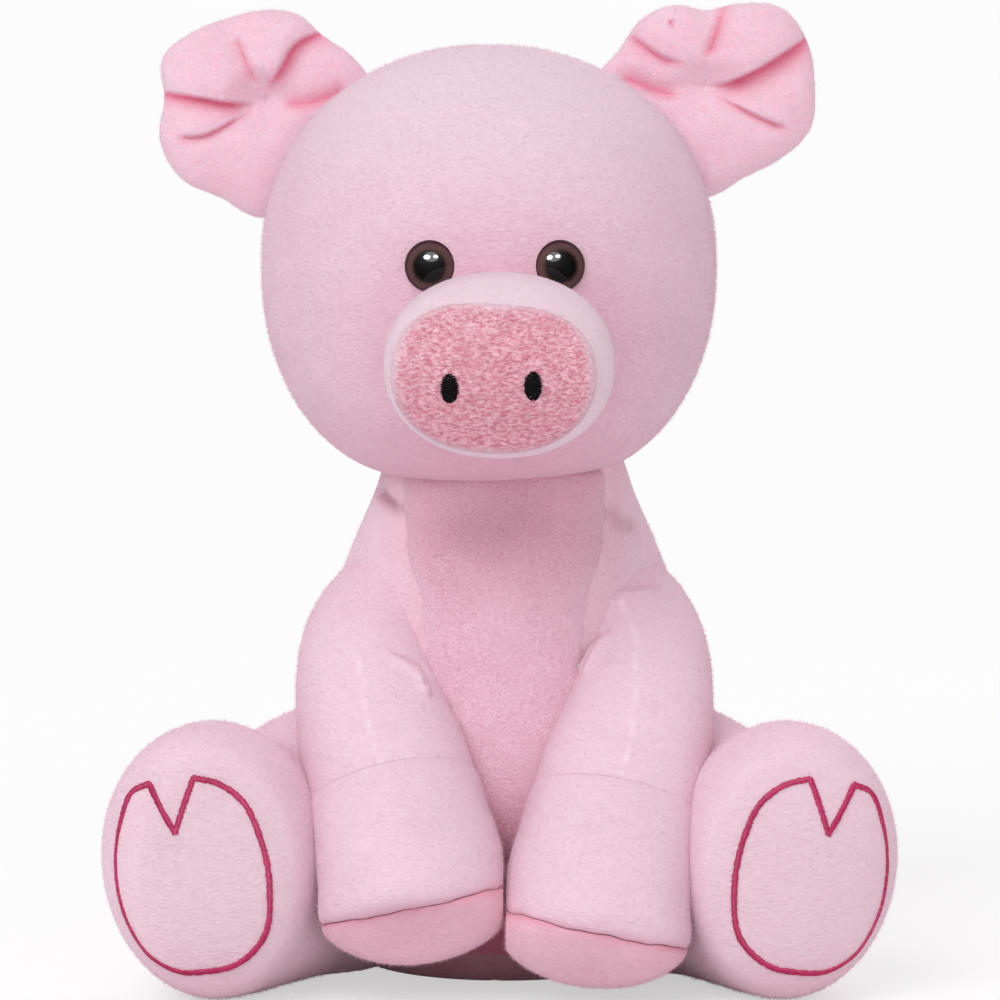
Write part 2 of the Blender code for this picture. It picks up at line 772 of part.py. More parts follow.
def make_leg(side, sign):
    widths = [ring_shares[2] * FOOT_HALF_WIDTH for ring_shares in LEG_RING_SHARES]
    heights = [ring_shares[3] * FOOT_HALF_HEIGHT for ring_shares in LEG_RING_SHARES]
    skin = []
    places = leg_path(side, sign)
    for step, place in enumerate(places):
        before = places[max(step - 1, 0)]
        after = places[min(step + 1, len(places) - 1)]
        along = Vector((after.x - before.x, after.y - before.y, 0)).normalized()
        lean = Matrix.Rotation(sign * FOOT_LEAN * step / (len(places) - 1), 3, -along)
        across = lean @ UP.cross(along)
        skin.append(ring(place, across * widths[step], lean @ UP * heights[step], LIMB_COLUMNS))
    return soft_form("leg_" + side, skin, BODY_PINK)


def make_hoof_print(side, sign, leg):
    """A raised cord in the outline of a hoof, laid on the sole of a hind foot."""
    path = leg_path(side, sign)
    look = (path[-1] - path[-2]).normalized()
    lean = Matrix.Rotation(sign * FOOT_LEAN, 3, -look)
    level = lean @ UP.cross(look)
    rise = lean @ UP
    middle = path[-1] + level * sign * PRINT_OUTS[side] - rise * PRINT_DROP
    half = list(PRINT_SHARES)
    outline = half + [(-x, z) for x, z in reversed(half[1:])]
    rough = [middle + level * x * PRINT_HALF_WIDTH + rise * z * PRINT_HALF_HEIGHT for x, z in outline]
    points = []
    for step in range(PRINT_POINTS):
        share = step / PRINT_POINTS * len(rough)
        first = int(share)
        around = [rough[(first + offset) % len(rough)] for offset in (-1, 0, 1, 2)]
        start = spline_point(around, share - first) + look * CUT_OVERRUN
        points.append(skin_point(leg, start, -look))
    return cord("hoof_print_" + side, points, PRINT_CORD_RADIUS, PRINT_PINK, closed=True)


def spline_point(around, share):
    """A point between the middle two of four places, on a smooth curve through them."""
    before, start, end, after = around
    into = (end - before) / 2
    out = (after - start) / 2
    return (
        start * (2 * share ** 3 - 3 * share ** 2 + 1) + into * (share ** 3 - 2 * share ** 2 + share)
        + end * (3 * share ** 2 - 2 * share ** 3) + out * (share ** 3 - share ** 2)
    )


def cord(name, points, radius, colour, closed=False, thickness=None):
    """A round cord through points, as a mesh."""
    curve = bpy.data.curves.new(name, "CURVE")
    curve.dimensions = "3D"
    curve.bevel_depth = radius
    curve.bevel_resolution = 1
    curve.use_fill_caps = True
    spline = curve.splines.new("POLY")
    spline.points.add(len(points) - 1)
    spline.use_cyclic_u = closed
    for step, (point, place) in enumerate(zip(spline.points, points)):
        point.co = (*place, 1)
        point.radius = thickness[step] if thickness else 1
    guide = bpy.data.objects.new(name + "_guide", curve)
    CUTTERS.objects.link(guide)
    seen = guide.evaluated_get(bpy.context.evaluated_depsgraph_get())
    mesh = bpy.data.meshes.new_from_object(seen)
    bpy.data.objects.remove(guide)
    bm = bmesh.new()
    bm.from_mesh(mesh)
    bpy.data.meshes.remove(mesh)
    bmesh.ops.remove_doubles(bm, verts=bm.verts, dist=MERGE_DISTANCE)
    return new_object(name, mesh_from(bm, name), colour)


# Tail

def tail_root(torso):
    start = Vector((0, HIP_HALF_DEPTH + CUT_OVERRUN, TAIL_HEIGHT_SHARE * TORSO_HEIGHT))
    return skin_point(torso, start, FRONT) - FRONT * TAIL_GAP


def make_tail(root):
    steps = round(TAIL_TURNS * TAIL_POINTS_PER_TURN)
    points = [root]
    thickness = [TAIL_THIN_SHARE]
    for step in range(steps + 1):
        turn = step / TAIL_POINTS_PER_TURN
        across = -math.sin(math.tau * turn)
        rise = 1 - math.cos(math.tau * turn)
        back = TAIL_START + TAIL_PITCH * turn
        points.append(root + Vector((TAIL_CURL_RADIUS * across, back, TAIL_CURL_RADIUS * rise)))
        end = min((step + 1) / TAIL_THIN_POINTS, (steps - step) / TAIL_THIN_POINTS, 1)
        thickness.append(TAIL_THIN_SHARE + (1 - TAIL_THIN_SHARE) * math.sin(math.pi / 2 * end))
    return cord("tail", points, TAIL_RADIUS, BODY_PINK, thickness=thickness)


# Assembly

def assemble():
    floor = plane_block("floor", (0, 0, 0), -UP)
    torso = make_torso()
    settle(torso, -FLOOR_PRESS)
    head = make_head()
    muzzle = make_muzzle()
    disk = make_snout_disk()
    head_room = grown(head, SEAM_GAP, "head_room")
    torso_room = grown(torso, SEAM_GAP, "torso_room")
    muzzle_room = grown(muzzle, SEAM_GAP, "muzzle_room")
    disk_room = grown(disk, SEAM_GAP, "disk_room")
    ear_room = grown(head, EAR_GAP, "ear_room")
    bag = make_pellet_bag()
    settle(bag, SEAT_THICKNESS + SEAM_GAP)
    belly_panel, panel_recess = make_belly_panel(torso)
    seat_panel, seat_recess = make_seat()
    root = tail_root(torso)
    for cutter in (floor, head_room, panel_recess, seat_recess, grown(bag, SEAM_GAP, "bag_room")):
        boolean(torso, cutter)
    boolean(belly_panel, head_room)
    boolean(muzzle, head_room)
    boolean(disk, muzzle_room)

    neck = joint_empty("neck_axis", HEAD_AXIS + UP * HEAD_BOTTOM, UP)
    carry(neck, head, muzzle, disk, head_room, ear_room, muzzle_room, disk_room)
    tail_joint = joint_empty("tail_axis", root, UP)
    carry(tail_joint, make_tail(root))

    for side, sign in SIDES.items():
        nostril = make_nostril(side, sign, disk)
        boolean(nostril, disk_room)
        pocket = make_eye_pocket(side, sign)
        boolean(head, pocket)
        eye = make_eye(side, sign)
        eye_room = grown(eye, SEAM_GAP, "eye_room_" + side)
        boolean(muzzle, eye_room)
        carry(neck, nostril, pocket, eye, eye_room, make_eye_washer(side, sign))

        ear = make_ear(side, sign)
        low, high = ear_seam(sign)
        ear_axis = joint_empty("ear_axis_" + side, (low + high) / 2, high - low)
        for angle in (-EAR_SWING, 0, EAR_SWING):
            boolean(ear, swung(ear_room, ear_axis, angle), crosses_itself=True)
        carry(neck, ear_axis)
        carry(ear_axis, ear)

        leg = make_leg(side, sign)
        settle(leg, -FLOOR_PRESS)
        leg_room = grown(leg, SEAM_GAP, "leg_room_" + side)
        hoof_print = make_hoof_print(side, sign, leg)
        boolean(hoof_print, leg_room, crosses_itself=True)
        boolean(leg, torso_room)
        boolean(leg, floor)
        hip_place = Vector((sign * HIP_HALF_WIDTH, HIP_AXIS_BACK, FOOT_HALF_HEIGHT))
        hip = joint_empty("hip_axis_" + side, hip_place, UP * sign)
        carry(hip, leg, leg_room, hoof_print)

        beyond_middle = plane_block("beyond_middle_" + side, ACROSS * sign * HAND_GAP / 2, -ACROSS * sign)
        pieces = make_arm(side, sign, (torso_room, leg_room, beyond_middle, floor))
        axis_place = Vector((shoulder(sign).x, 0, shoulder(sign).z + SHOULDER_AXIS_RISE))
        shoulder_axis = joint_empty("shoulder_axis_" + side, axis_place, -ACROSS)
        carry(shoulder_axis, *pieces)


assemble()
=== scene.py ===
# %% [markdown]
# A plush pig, sewn from short pile cloth and stuffed. The imported model is the frame: each soft
# piece hides the frame's part that it stands for, and most pieces ride on an empty named for their
# body.
# %% Load the frame
import math

import bmesh
import bpy
import numpy as np
from mathutils import Matrix, Vector


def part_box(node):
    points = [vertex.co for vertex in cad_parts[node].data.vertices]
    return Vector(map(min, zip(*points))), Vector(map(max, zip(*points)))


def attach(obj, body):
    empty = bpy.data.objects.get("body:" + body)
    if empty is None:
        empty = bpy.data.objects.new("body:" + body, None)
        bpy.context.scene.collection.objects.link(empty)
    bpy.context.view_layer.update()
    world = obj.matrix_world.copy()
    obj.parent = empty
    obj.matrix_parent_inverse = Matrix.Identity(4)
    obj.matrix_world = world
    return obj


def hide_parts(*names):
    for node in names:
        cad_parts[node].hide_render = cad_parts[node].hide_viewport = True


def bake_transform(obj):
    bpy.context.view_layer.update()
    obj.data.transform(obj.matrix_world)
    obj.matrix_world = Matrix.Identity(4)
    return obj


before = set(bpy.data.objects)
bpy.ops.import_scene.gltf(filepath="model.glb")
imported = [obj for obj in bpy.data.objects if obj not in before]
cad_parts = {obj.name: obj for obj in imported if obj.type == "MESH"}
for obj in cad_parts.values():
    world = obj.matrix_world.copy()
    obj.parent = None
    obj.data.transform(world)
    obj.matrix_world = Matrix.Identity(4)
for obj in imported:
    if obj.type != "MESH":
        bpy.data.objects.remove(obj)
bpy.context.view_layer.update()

# %% [markdown]
# The sizes are those of the sewing pattern, in metres. The pig faces -Y, and its own left is at +X.
# Left and right differ a little, as they do on a hand-stuffed toy.
# %% Sizes of the pattern
SIDES = {"left": 1, "right": -1}
ACROSS, FRONT, UP = np.array((1.0, 0, 0)), np.array((0, -1.0, 0)), np.array((0, 0, 1.0))

TORSO_HEIGHT = 0.162
HIP_HALF_WIDTH, HIP_HALF_DEPTH = 0.067, 0.060
NECK_LEAN = 0.005
TORSO_RINGS = (  # shares: height, width, depth, lean
    (0.000, 0.645, 0.69, -0.6), (0.035, 0.80, 0.79, -0.5), (0.090, 0.90, 0.885, -0.3),
    (0.280, 1.00, 1.00, 0.0), (0.520, 0.91, 0.92, 0.1), (0.740, 0.76, 0.74, 0.5),
    (0.900, 0.605, 0.60, 0.9), (1.000, 0.50, 0.50, 1.0),
)
PANEL_HALF_WIDTH = 0.034
PANEL_TOP_SHARE, PANEL_BOTTOM_SHARE = 0.96, 0.05
PANEL_WIDTHS = (0.55, 0.78, 0.90, 0.86, 0.72, 0.76, 0.92, 0.96)

HEAD_RADIUS, HEAD_HEIGHT = 0.0698, 0.1328
HEAD_BOTTOM = 0.151
HEAD_AXIS = np.array((-0.0048, -0.006, 0))
HEAD_WIDEST = 0.475
HEAD_RINGS = (  # shares: height, radius
    (0.000, 0.34), (0.055, 0.63), (0.165, 0.832), (0.310, 0.957), (HEAD_WIDEST, 1.000),
    (0.650, 0.966), (0.815, 0.812), (0.940, 0.520), (1.000, 0.16),
)
HEAD_MIDDLE = HEAD_AXIS + UP * (HEAD_BOTTOM + HEAD_WIDEST * HEAD_HEIGHT)

MUZZLE_HALF_WIDTH, MUZZLE_HALF_HEIGHT = 0.0330, 0.0263
MUZZLE_FRONT = HEAD_RADIUS + 0.033
MUZZLE_MIDDLE = np.array((-0.0016, HEAD_AXIS[1], HEAD_BOTTOM + 0.303 * HEAD_HEIGHT))
MUZZLE_RINGS = ((0.40, 0.90), (0.62, 1.01), (0.80, 1.02), (0.93, 0.96), (1.00, 0.76))
DISK_HALF_WIDTH, DISK_HALF_HEIGHT, DISK_THICKNESS = 0.0294, 0.0215, 0.009
DISK_RINGS = ((0.0, 0.62), (0.30, 1.0), (0.70, 1.0), (1.0, 0.64))
DISK_TURN = math.radians(-3)
DISK_MIDDLE = MUZZLE_MIDDLE - ACROSS * 0.0017 - UP * 0.0024 + FRONT * (MUZZLE_FRONT + 0.0045)
NOSTRIL_HALF_WIDTH, NOSTRIL_HALF_HEIGHT = 0.0025, 0.0042
NOSTRIL_SPREAD, NOSTRIL_SHIFT, NOSTRIL_DROP = 0.0120, 0.0005, 0.0021
NOSTRIL_LIFTS, NOSTRIL_STITCHES = {"left": 0.0004, "right": -0.0003}, 25

EYE_RADIUS, EYE_DOME = 0.0078, 0.0050
EYE_SPREAD, EYE_SHIFT, EYE_HEIGHT = 0.0192, 0.0028, HEAD_BOTTOM + 0.517 * HEAD_HEIGHT
EYE_TOE_IN = math.radians(9)
STEM_RADIUS, STEM_GROOVE, STEM_LENGTH = 0.0023, 0.0018, 0.0125
STEM_RIDGES, STEM_PITCH, STEM_FIRST = 4, 0.0022, 0.0040

EAR_REACH, EAR_RADIUS, EAR_BACK = 0.0884, 0.036, 0.009
EAR_DEPTH, EAR_PUFF, EAR_LOWEST = 0.0080, 0.0092, -0.0055
EAR_ANGLES = {"left": math.radians(40.8), "right": math.radians(37.5)}

ARM_LENGTH, ARM_HALF_WIDTH, ARM_HALF_THICKNESS = 0.104, 0.0265, 0.0215
ARM_DROPS = {"left": 0.0065, "right": -0.002}
ARM_RINGS = (  # shares: out, forward, rise, width, thickness
    (0.00, 0.00, 0.00, 0.7176, 0.72), (0.068, 0.18, -0.11, 0.7455, 0.80),
    (0.052, 0.34, -0.28, 0.86, 0.90), (0.000, 0.46, -0.44, 0.94, 0.95),
    (-0.035, 0.55, -0.585, 0.95, 1.05), (-0.070, 0.625, -0.73, 1.00, 1.08),
    (-0.080, 0.69, -0.86, 0.985, 1.00), (-0.085, 0.725, -0.897, 0.66, 0.56),
)
WRIST_SHARE, SOLE_SHARE = 0.485, 0.855
SOLE_RISE, SOLE_SLANT, SOLE_PITCH = 0.0057, math.radians(12), math.radians(-5)
MIDDLE_GAP = 0.0004

FOOT_HALF_WIDTH, FOOT_HALF_HEIGHT = 0.0335, 0.0415
FOOT_OUTS = {"left": 0.0905, "right": 0.0940}
FOOT_FRONT, FOOT_LEAN = 0.088, math.radians(10)
LEG_RINGS = (  # shares: out, forward, width, height
    (0.00, 0.00, 0.72, 1.02), (0.34, 0.28, 0.85, 0.98), (0.60, 0.49, 0.95, 0.92),
    (0.80, 0.67, 1.00, 1.00), (0.96, 0.92, 0.88, 0.88), (1.00, 1.00, 0.52, 0.54),
)
PRINT_HALF_WIDTH, PRINT_HALF_HEIGHT = 0.0230, 0.0291
PRINT_OUTS = {"left": 0.0024, "right": 0.0004}

TAIL_RADIUS, TAIL_CURL, TAIL_TURNS, TAIL_STEPS = 0.0036, 0.0095, 1.3, 40
TAIL_GAP, TAIL_PITCH = 0.006, 0.013
TAIL_ROOT = np.array((0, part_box("tail")[0].y, 0.34 * TORSO_HEIGHT))

# points round each form, and the length of a step along it
TORSO_MESH, HEAD_MESH, MUZZLE_MESH = (256, 0.0013), (128, 0.0022), (96, 0.0015)
DISK_MESH, ARM_MESH, LEG_MESH, TAIL_MESH = (96, 0.0008), (224, 0.0011), (96, 0.0018), (32, 0.001)
EAR_COLUMNS, EAR_STEPS, EYE_COLUMNS, EYE_STEPS = 256, 76, 64, 16
PANEL_COLUMNS, PANEL_STEPS = 48, 90

# %% [markdown]
# Every stuffed form starts as a few rings. A smooth curve runs through the matching points of the
# rings, and over both poles, so the skin is round everywhere without a cage.
# %% Skins through rings
def unit(vector):
    return vector / np.linalg.norm(vector)


def angles(columns):
    return math.tau * np.arange(columns) / columns


def turn_about(axis, angle, vector):
    return np.array(Matrix.Rotation(angle, 3, Vector(axis)) @ Vector(vector))


def ring(centre, across, up, columns, box=2.0, low_box=None):
    """Points round an oval. A box above 2 fills its corners a little, the low ones by low_box."""
    c, s = np.cos(angles(columns)), np.sin(angles(columns))
    box = np.where(s > 0, box, low_box or box)
    swell = (np.abs(c) ** box + np.abs(s) ** box) ** (-1 / box)
    return centre + np.outer(c * swell, across) + np.outer(s * swell, up)


def pole(point, columns):
    return np.tile(np.asarray(point, float), (columns, 1))


def is_pole(row):
    return np.ptp(row, axis=0).max() < 1e-7


def through(skin, step_length, closed=True):
    """Dense rows through rings of points, round over the first and last if the form is closed."""
    skin = np.asarray(skin, float)
    gaps = np.linalg.norm(np.diff(skin, axis=0), axis=2).mean(1)
    speed = np.diff(skin, axis=0) / gaps[:, None, None]
    share = (gaps[:-1] / (gaps[:-1] + gaps[1:]))[:, None, None]
    slopes = np.zeros_like(skin)
    slopes[1:-1] = speed[:-1] * (1 - share) + speed[1:] * share
    slopes[0], slopes[-1] = speed[0], speed[-1]
    if closed:
        half = skin.shape[1] // 2
        slopes[0] = (skin[1] - np.roll(skin[1], half, 0)) / (2 * gaps[0])
        slopes[-1] = (np.roll(skin[-2], half, 0) - skin[-2]) / (2 * gaps[-1])
    rows = []
    for low, gap in enumerate(gaps):
        count = max(2, round(gap / step_length))
        for step in range(count):
            t = step / count
            rows.append(
                skin[low] * (2 * t ** 3 - 3 * t ** 2 + 1)
                + slopes[low] * gap * (t ** 3 - 2 * t ** 2 + t)
                + skin[low + 1] * (3 * t ** 2 - 2 * t ** 3)
                + slopes[low + 1] * gap * (t ** 3 - t ** 2)
            )
    return np.array([*rows, skin[-1]])


def between_poles(first, rings, last, step_length):
    """Dense rows from one pole through rings to the other."""
    columns = len(rings[0])
    return through([pole(first, columns), *rings, pole(last, columns)], step_length)


def smooth_line(knots, step_length):
    """A smooth curve through points of a plane."""
    return through(np.stack([knots, knots], 1), step_length, False)[:, 0]


def oval_form(table, place, across, up, ends, mesh, *box):
    """Dense rows through ovals of a table (share, size), from pole to pole at two more shares."""
    columns, step = mesh
    rings = [ring(place(share), across * size, up * size, columns, *box) for share, size in table]
    return between_poles(place(ends[0]), rings, place(ends[1]), step)


def way_along(places, step):
    return places[min(step + 1, len(places) - 1)] - places[max(step - 1, 0)]


def beyond(places, share):
    """A point past the end of a path, by a share of its last stretch."""
    return places[-1] + (places[-1] - places[-2]) * share


def path_rings(places, widths, heights, across, columns):
    """Rings that stand square on a path."""
    rings = []
    for step, (place, width, height) in enumerate(zip(places, widths, heights)):
        along = unit(way_along(places, step))
        side = unit(across - along * across.dot(along))
        rings.append(ring(place, side * width, np.cross(along, side) * height, columns))
    return rings


def above_floor(rows):
    rows[..., 2] = np.maximum(rows[..., 2], 0)
    return rows


def new_mesh(name, places, faces=()):
    mesh = bpy.data.meshes.new(name)
    mesh.from_pydata([tuple(place) for place in places], [], faces)
    return mesh


def in_scene(name, data):
    obj = bpy.data.objects.new(name, data)
    bpy.context.scene.collection.objects.link(obj)
    return obj


def skin_object(name, rows, material):
    """A closed mesh from dense rows; the first and last rows are poles or flat caps."""
    columns = len(rows[0])
    verts, faces, starts = [], [], []
    for row in rows:
        starts.append((len(verts), is_pole(row)))
        verts.extend(row[:1] if starts[-1][1] else row)
    for (a, a_pole), (b, b_pole) in zip(starts, starts[1:]):
        for c in range(columns):
            n = (c + 1) % columns
            if a_pole:
                faces.append((a, b + n, b + c))
            elif b_pole:
                faces.append((a + c, a + n, b))
            else:
                faces.append((a + c, a + n, b + n, b + c))
    for (start, at_pole), order in ((starts[0], -1), (starts[-1], 1)):
        if not at_pole:
            faces.append(tuple(range(start, start + columns))[::order])
    mesh = new_mesh(name, verts, faces)
    bm = bmesh.new()
    bm.from_mesh(mesh)
    bmesh.ops.recalc_face_normals(bm, faces=bm.faces)
    bm.to_mesh(mesh)
    bm.free()
    mesh.shade_smooth()
    mesh.materials.append(material)
    print(name, len(mesh.polygons), "faces")
    return in_scene(name, mesh)


def points_of(obj):
    place = np.zeros(len(obj.data.vertices) * 3)
    obj.data.vertices.foreach_get("co", place)
    return place.reshape(-1, 3)


def mark(obj, **marks):
    """Stores numbers for each point: pale seams and painted sheen, painted shade, and shorn for
    fibres.
    """
    for name, values in marks.items():
        store = obj.data.attributes.new(name, "FLOAT", "POINT")
        store.data.foreach_set("value", np.asarray(values, float))


def dress(obj, node, slot, body, end_body=None, start=None, end=None):
    """A piece rides on an empty for its body, or with a second body stays where it is, and hides the
    frame's node.
    """
    if end_body:
        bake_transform(obj)
    else:
        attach(obj, body)
    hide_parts(node)


def stuffed(obj, node, slot, *bodies, fill=0.8):
    """A padded piece, with its fibres as a second piece that moves alike."""
    for piece in (fuzz(obj), obj):
        dress(piece, node, slot, *bodies)


# %% [markdown]
# Folds are drawn as lines on the front of a piece. On one side of the line the cloth stands up in a
# lobe that hangs over, on the other side it sinks and rises again.
# %% Folds
def smooth_step(low, high, value):
    t = np.clip((value - low) / (high - low), 0, 1)
    return t * t * (3 - 2 * t)


def bell(value, width, power=2):
    return np.exp(-(value / width) ** power)


def to_line(flat, line):
    """Distance from a line, positive on its left, the share along it, and the way across it."""
    line = np.array(line, float)
    lengths = np.linalg.norm(np.diff(line, axis=0), axis=1)
    ends = np.concatenate([[0], np.cumsum(lengths)]) / lengths.sum()
    best = np.full(len(flat), 1e9)
    side, share, across = np.zeros(len(flat)), np.zeros(len(flat)), np.zeros((len(flat), 2))
    for k, length in enumerate(lengths):
        along = (line[k + 1] - line[k]) / length
        normal = np.array((-along[1], along[0]))
        t = np.clip((flat - line[k]) @ along, 0, length)
        far = np.linalg.norm(flat - line[k] - np.outer(t, along), axis=1)
        near = far < best
        best = np.where(near, far, best)
        side = np.where(near, np.sign((flat - line[k]) @ normal), side)
        share = np.where(near, ends[k] + t / length * (ends[k + 1] - ends[k]), share)
        across[near] = normal
    return best * side, share, across


def folded(flat, line, side, depth, near, far, over, lobe, open_end=False, start=0.1):
    """How much a fold lifts each point, how far it pulls it over the line, and its painted shade."""
    if len(line) > 2:
        line = smooth_line(np.array(line, float), 2.0)
    distance, share, across = to_line(flat, line)
    distance = distance * side
    strength = smooth_step(0, start, share)
    if not open_end:
        strength = strength * (1 - smooth_step(0.82, 1.0, share))
    behind, away = distance < 0, np.abs(distance)
    sunk = np.where(behind, bell(away, far, 1.4), np.clip(1 - distance / near, 0, 1) ** 1.5)
    raised = np.where(distance > 0, bell(distance - 2.2 * near, 2.2 * near), 0)
    pull = over * smooth_step(0, near, distance) * bell(np.maximum(distance - near, 0), 2.5, 1)
    deep = np.where(behind, bell(away, 0.6 * far, 1.3), sunk) * np.clip(depth / 3.4, 0, 1)
    lift = strength * (lobe * raised - depth * sunk)
    return lift, -across * (side * strength * pull)[:, None], strength * deep


def all_folds(flat, folds):
    """Several folds together, in millimetres: lift and pull add up, and the strongest painted shade
    counts.
    """
    lift, move, sunk = np.zeros(len(flat)), np.zeros((len(flat), 2)), np.zeros(len(flat))
    for fold in folds:
        more, shift, deep = folded(flat, *fold)
        lift, move, sunk = lift + more, move + shift, np.maximum(sunk, deep)
    return lift, move, sunk


# %% [markdown]
# A seam may cross the rings at a slant, so a form is parted column by column where it meets the
# seam's plane, and the cloth turns in at the seam.
# %% Parting a form at a seam
def crossing(rows, place, normal):
    """The row, with its fraction, at which each column passes a plane."""
    found = []
    for line in ((rows - place) @ normal).T:
        above = np.nonzero((line[:-1] < 0) & (line[1:] >= 0))[0]
        low = above[-1] if len(above) else 0
        found.append(low + line[low] / (line[low] - line[low + 1]))
    return np.array(found)


def part(rows, first, last, count):
    """Rows between two places of each column, evenly spaced."""
    columns = np.arange(rows.shape[1])
    parted = []
    for share in np.linspace(0, 1, count):
        place = np.clip(first + (last - first) * share, 0, len(rows) - 1.001)
        low = place.astype(int)
        t = (place - low)[:, None]
        parted.append(rows[low, columns] * (1 - t) + rows[low + 1, columns] * t)
    return np.array(parted)


def row_normals(rows):
    """Outward normals of dense rows, from the differences of neighbours."""
    normal = np.cross(np.roll(rows, -1, 1) - np.roll(rows, 1, 1), np.gradient(rows, axis=0))
    normal = normal / np.maximum(np.linalg.norm(normal, axis=2, keepdims=True), 1e-12)
    outward = ((rows - rows.mean((0, 1))) * normal).sum(2).mean()
    return normal if outward > 0 else -normal


def turned_in(rows, at_start, at_end, depth, reach=0.0010):
    """Rounds a form towards its seams and closes it behind them."""
    steps = np.linalg.norm(np.diff(rows, axis=0), axis=2)
    run = np.concatenate([np.zeros((1, rows.shape[1])), np.cumsum(steps, 0)])
    result, normals = rows.copy(), row_normals(rows)
    for wanted, away in ((at_start, run), (at_end, run[-1] - run)):
        if wanted:
            result -= normals * (depth * np.exp(-away / reach))[..., None]
    before, after = ([edge + (edge.mean(0) - edge) * share for share in (0.12, 0.4) if wanted]
                     for edge, wanted in ((result[0], at_start), (result[-1], at_end)))
    return np.array([*before[::-1], *result, *after])


# %% [markdown]
# A node tree is a list of nodes, each with its values and with the outputs that feed it.
# %% Node trees
def join(tree, node, inputs):
    """Sets each named input to a value, or links it to another node's output."""
    for name, value in inputs.items():
        if isinstance(value, bpy.types.NodeSocket):
            tree.links.new(value, node.inputs[name])
        else:
            node.inputs[name].default_value = value


def add(tree, kind, inputs=(), output=0, **settings):
    """A new node, as the output that is wanted of it."""
    node = tree.nodes.new(kind)
    for name, value in settings.items():
        setattr(node, name, value)
    join(tree, node, dict(inputs))
    return node.outputs[output]


def maths(tree, operation, *values, **settings):
    return add(tree, "ShaderNodeMath", enumerate(values), operation=operation, **settings)


def attribute(tree, name):
    return add(tree, "ShaderNodeAttribute", output="Fac", attribute_name=name)


def new_group(name, kind, inputs, outputs):
    """A tree of its own, from the kinds of its inputs and outputs by name."""
    tree = bpy.data.node_groups.new(name, kind)
    for way, sockets in (("INPUT", inputs), ("OUTPUT", outputs)):
        for label, sort in sockets.items():
            tree.interface.new_socket(label, in_out=way, socket_type="NodeSocket" + sort)
    return tree, tree.nodes.new("NodeGroupInput").outputs, tree.nodes.new("NodeGroupOutput")


def new_material(name):
    material = bpy.data.materials.new(name)
    material.use_nodes = True
    return material, material.node_tree, material.node_tree.nodes["Principled BSDF"]


# %% [markdown]
# Short pile cloth. A warped, stretched noise makes the brushed fibre streaks, and a broad noise the
# patches where the pile lies another way. Sheen lightens the edges, as nap does.
# %% Cloth materials
def linear(channel):
    value = channel / 255
    return value / 12.92 if value <= 0.04045 else ((value + 0.055) / 1.055) ** 2.4


def colour(rgb):
    return (*map(linear, rgb), 1)


def pile_group():
    """The pile's colour and height; a skin's marks give pale seams, painted sheen and painted shade.
    """
    tree, given, result = new_group("short_pile", "ShaderNodeTree", {
        "Tip": "Color", "Root": "Color", "Nap": "Float", "Stretch": "Vector", "Curl": "Float",
        "Patches": "Float", "Contrast": "Float", "Seam": "Float", "Seam Colour": "Color",
        "Deep": "Float", "Deep Colour": "Color", "Shade": "Float",
    }, {"Colour": "Color", "Height": "Float"})

    def noise(vector, scale, detail, rough=0.5, output="Fac"):
        return add(tree, "ShaderNodeTexNoise", {
            "Vector": vector, "Scale": scale, "Detail": detail, "Roughness": rough}, output)

    def vector_maths(operation, first, second):
        inputs = {0: first, "Scale" if operation == "SCALE" else 1: second}
        return add(tree, "ShaderNodeVectorMath", inputs, operation=operation)

    def mix(share, first, second, blend_type="MIX"):
        return add(tree, "ShaderNodeMix", {"Factor": share, "A": first, "B": second}, "Result",
                   data_type="RGBA", blend_type=blend_type)

    def uneven(value):
        return maths(tree, "MULTIPLY_ADD", value, 1.4, 0.3)

    def swing(value, strength):
        return maths(tree, "MULTIPLY", maths(tree, "SUBTRACT", value, 0.5), strength)

    place = add(tree, "ShaderNodeTexCoord", output="Object")
    swirl = vector_maths("SUBTRACT", noise(place, 170, 2, output="Color"), (0.5, 0.5, 0.5))
    curled = vector_maths("ADD", place, vector_maths("SCALE", swirl, given["Curl"]))
    fine = noise(vector_maths("MULTIPLY", curled, given["Stretch"]), given["Nap"], 3, 0.6)
    streaks = maths(tree, "MULTIPLY", swing(fine, given["Contrast"]), uneven(noise(place, 110, 2)))
    patches = swing(noise(place, 38, 4, 0.55), given["Patches"])
    share = maths(tree, "ADD", maths(tree, "ADD", streaks, patches), 0.5)
    # the pale seam colour, which on the head's top is painted sheen
    at_seam = maths(tree, "MULTIPLY", given["Seam"], uneven(fine), use_clamp=True)
    pile = mix(at_seam, mix(share, given["Root"], given["Tip"]), given["Seam Colour"])
    # painted shade: the cloth turns pinker, then darker, as its marks say
    pile = mix(given["Deep"], pile, given["Deep Colour"], "MULTIPLY")
    pile = vector_maths("SCALE", pile, maths(tree, "SUBTRACT", 1.0, given["Shade"]))
    join(tree, result, {"Colour": pile, "Height": fine})
    return tree


PILE = pile_group()
SHEEN_TINT, GLOW_SPREAD, BUMP_STRENGTH = (255, 238, 246), (1, 0.35, 0.45), 0.7


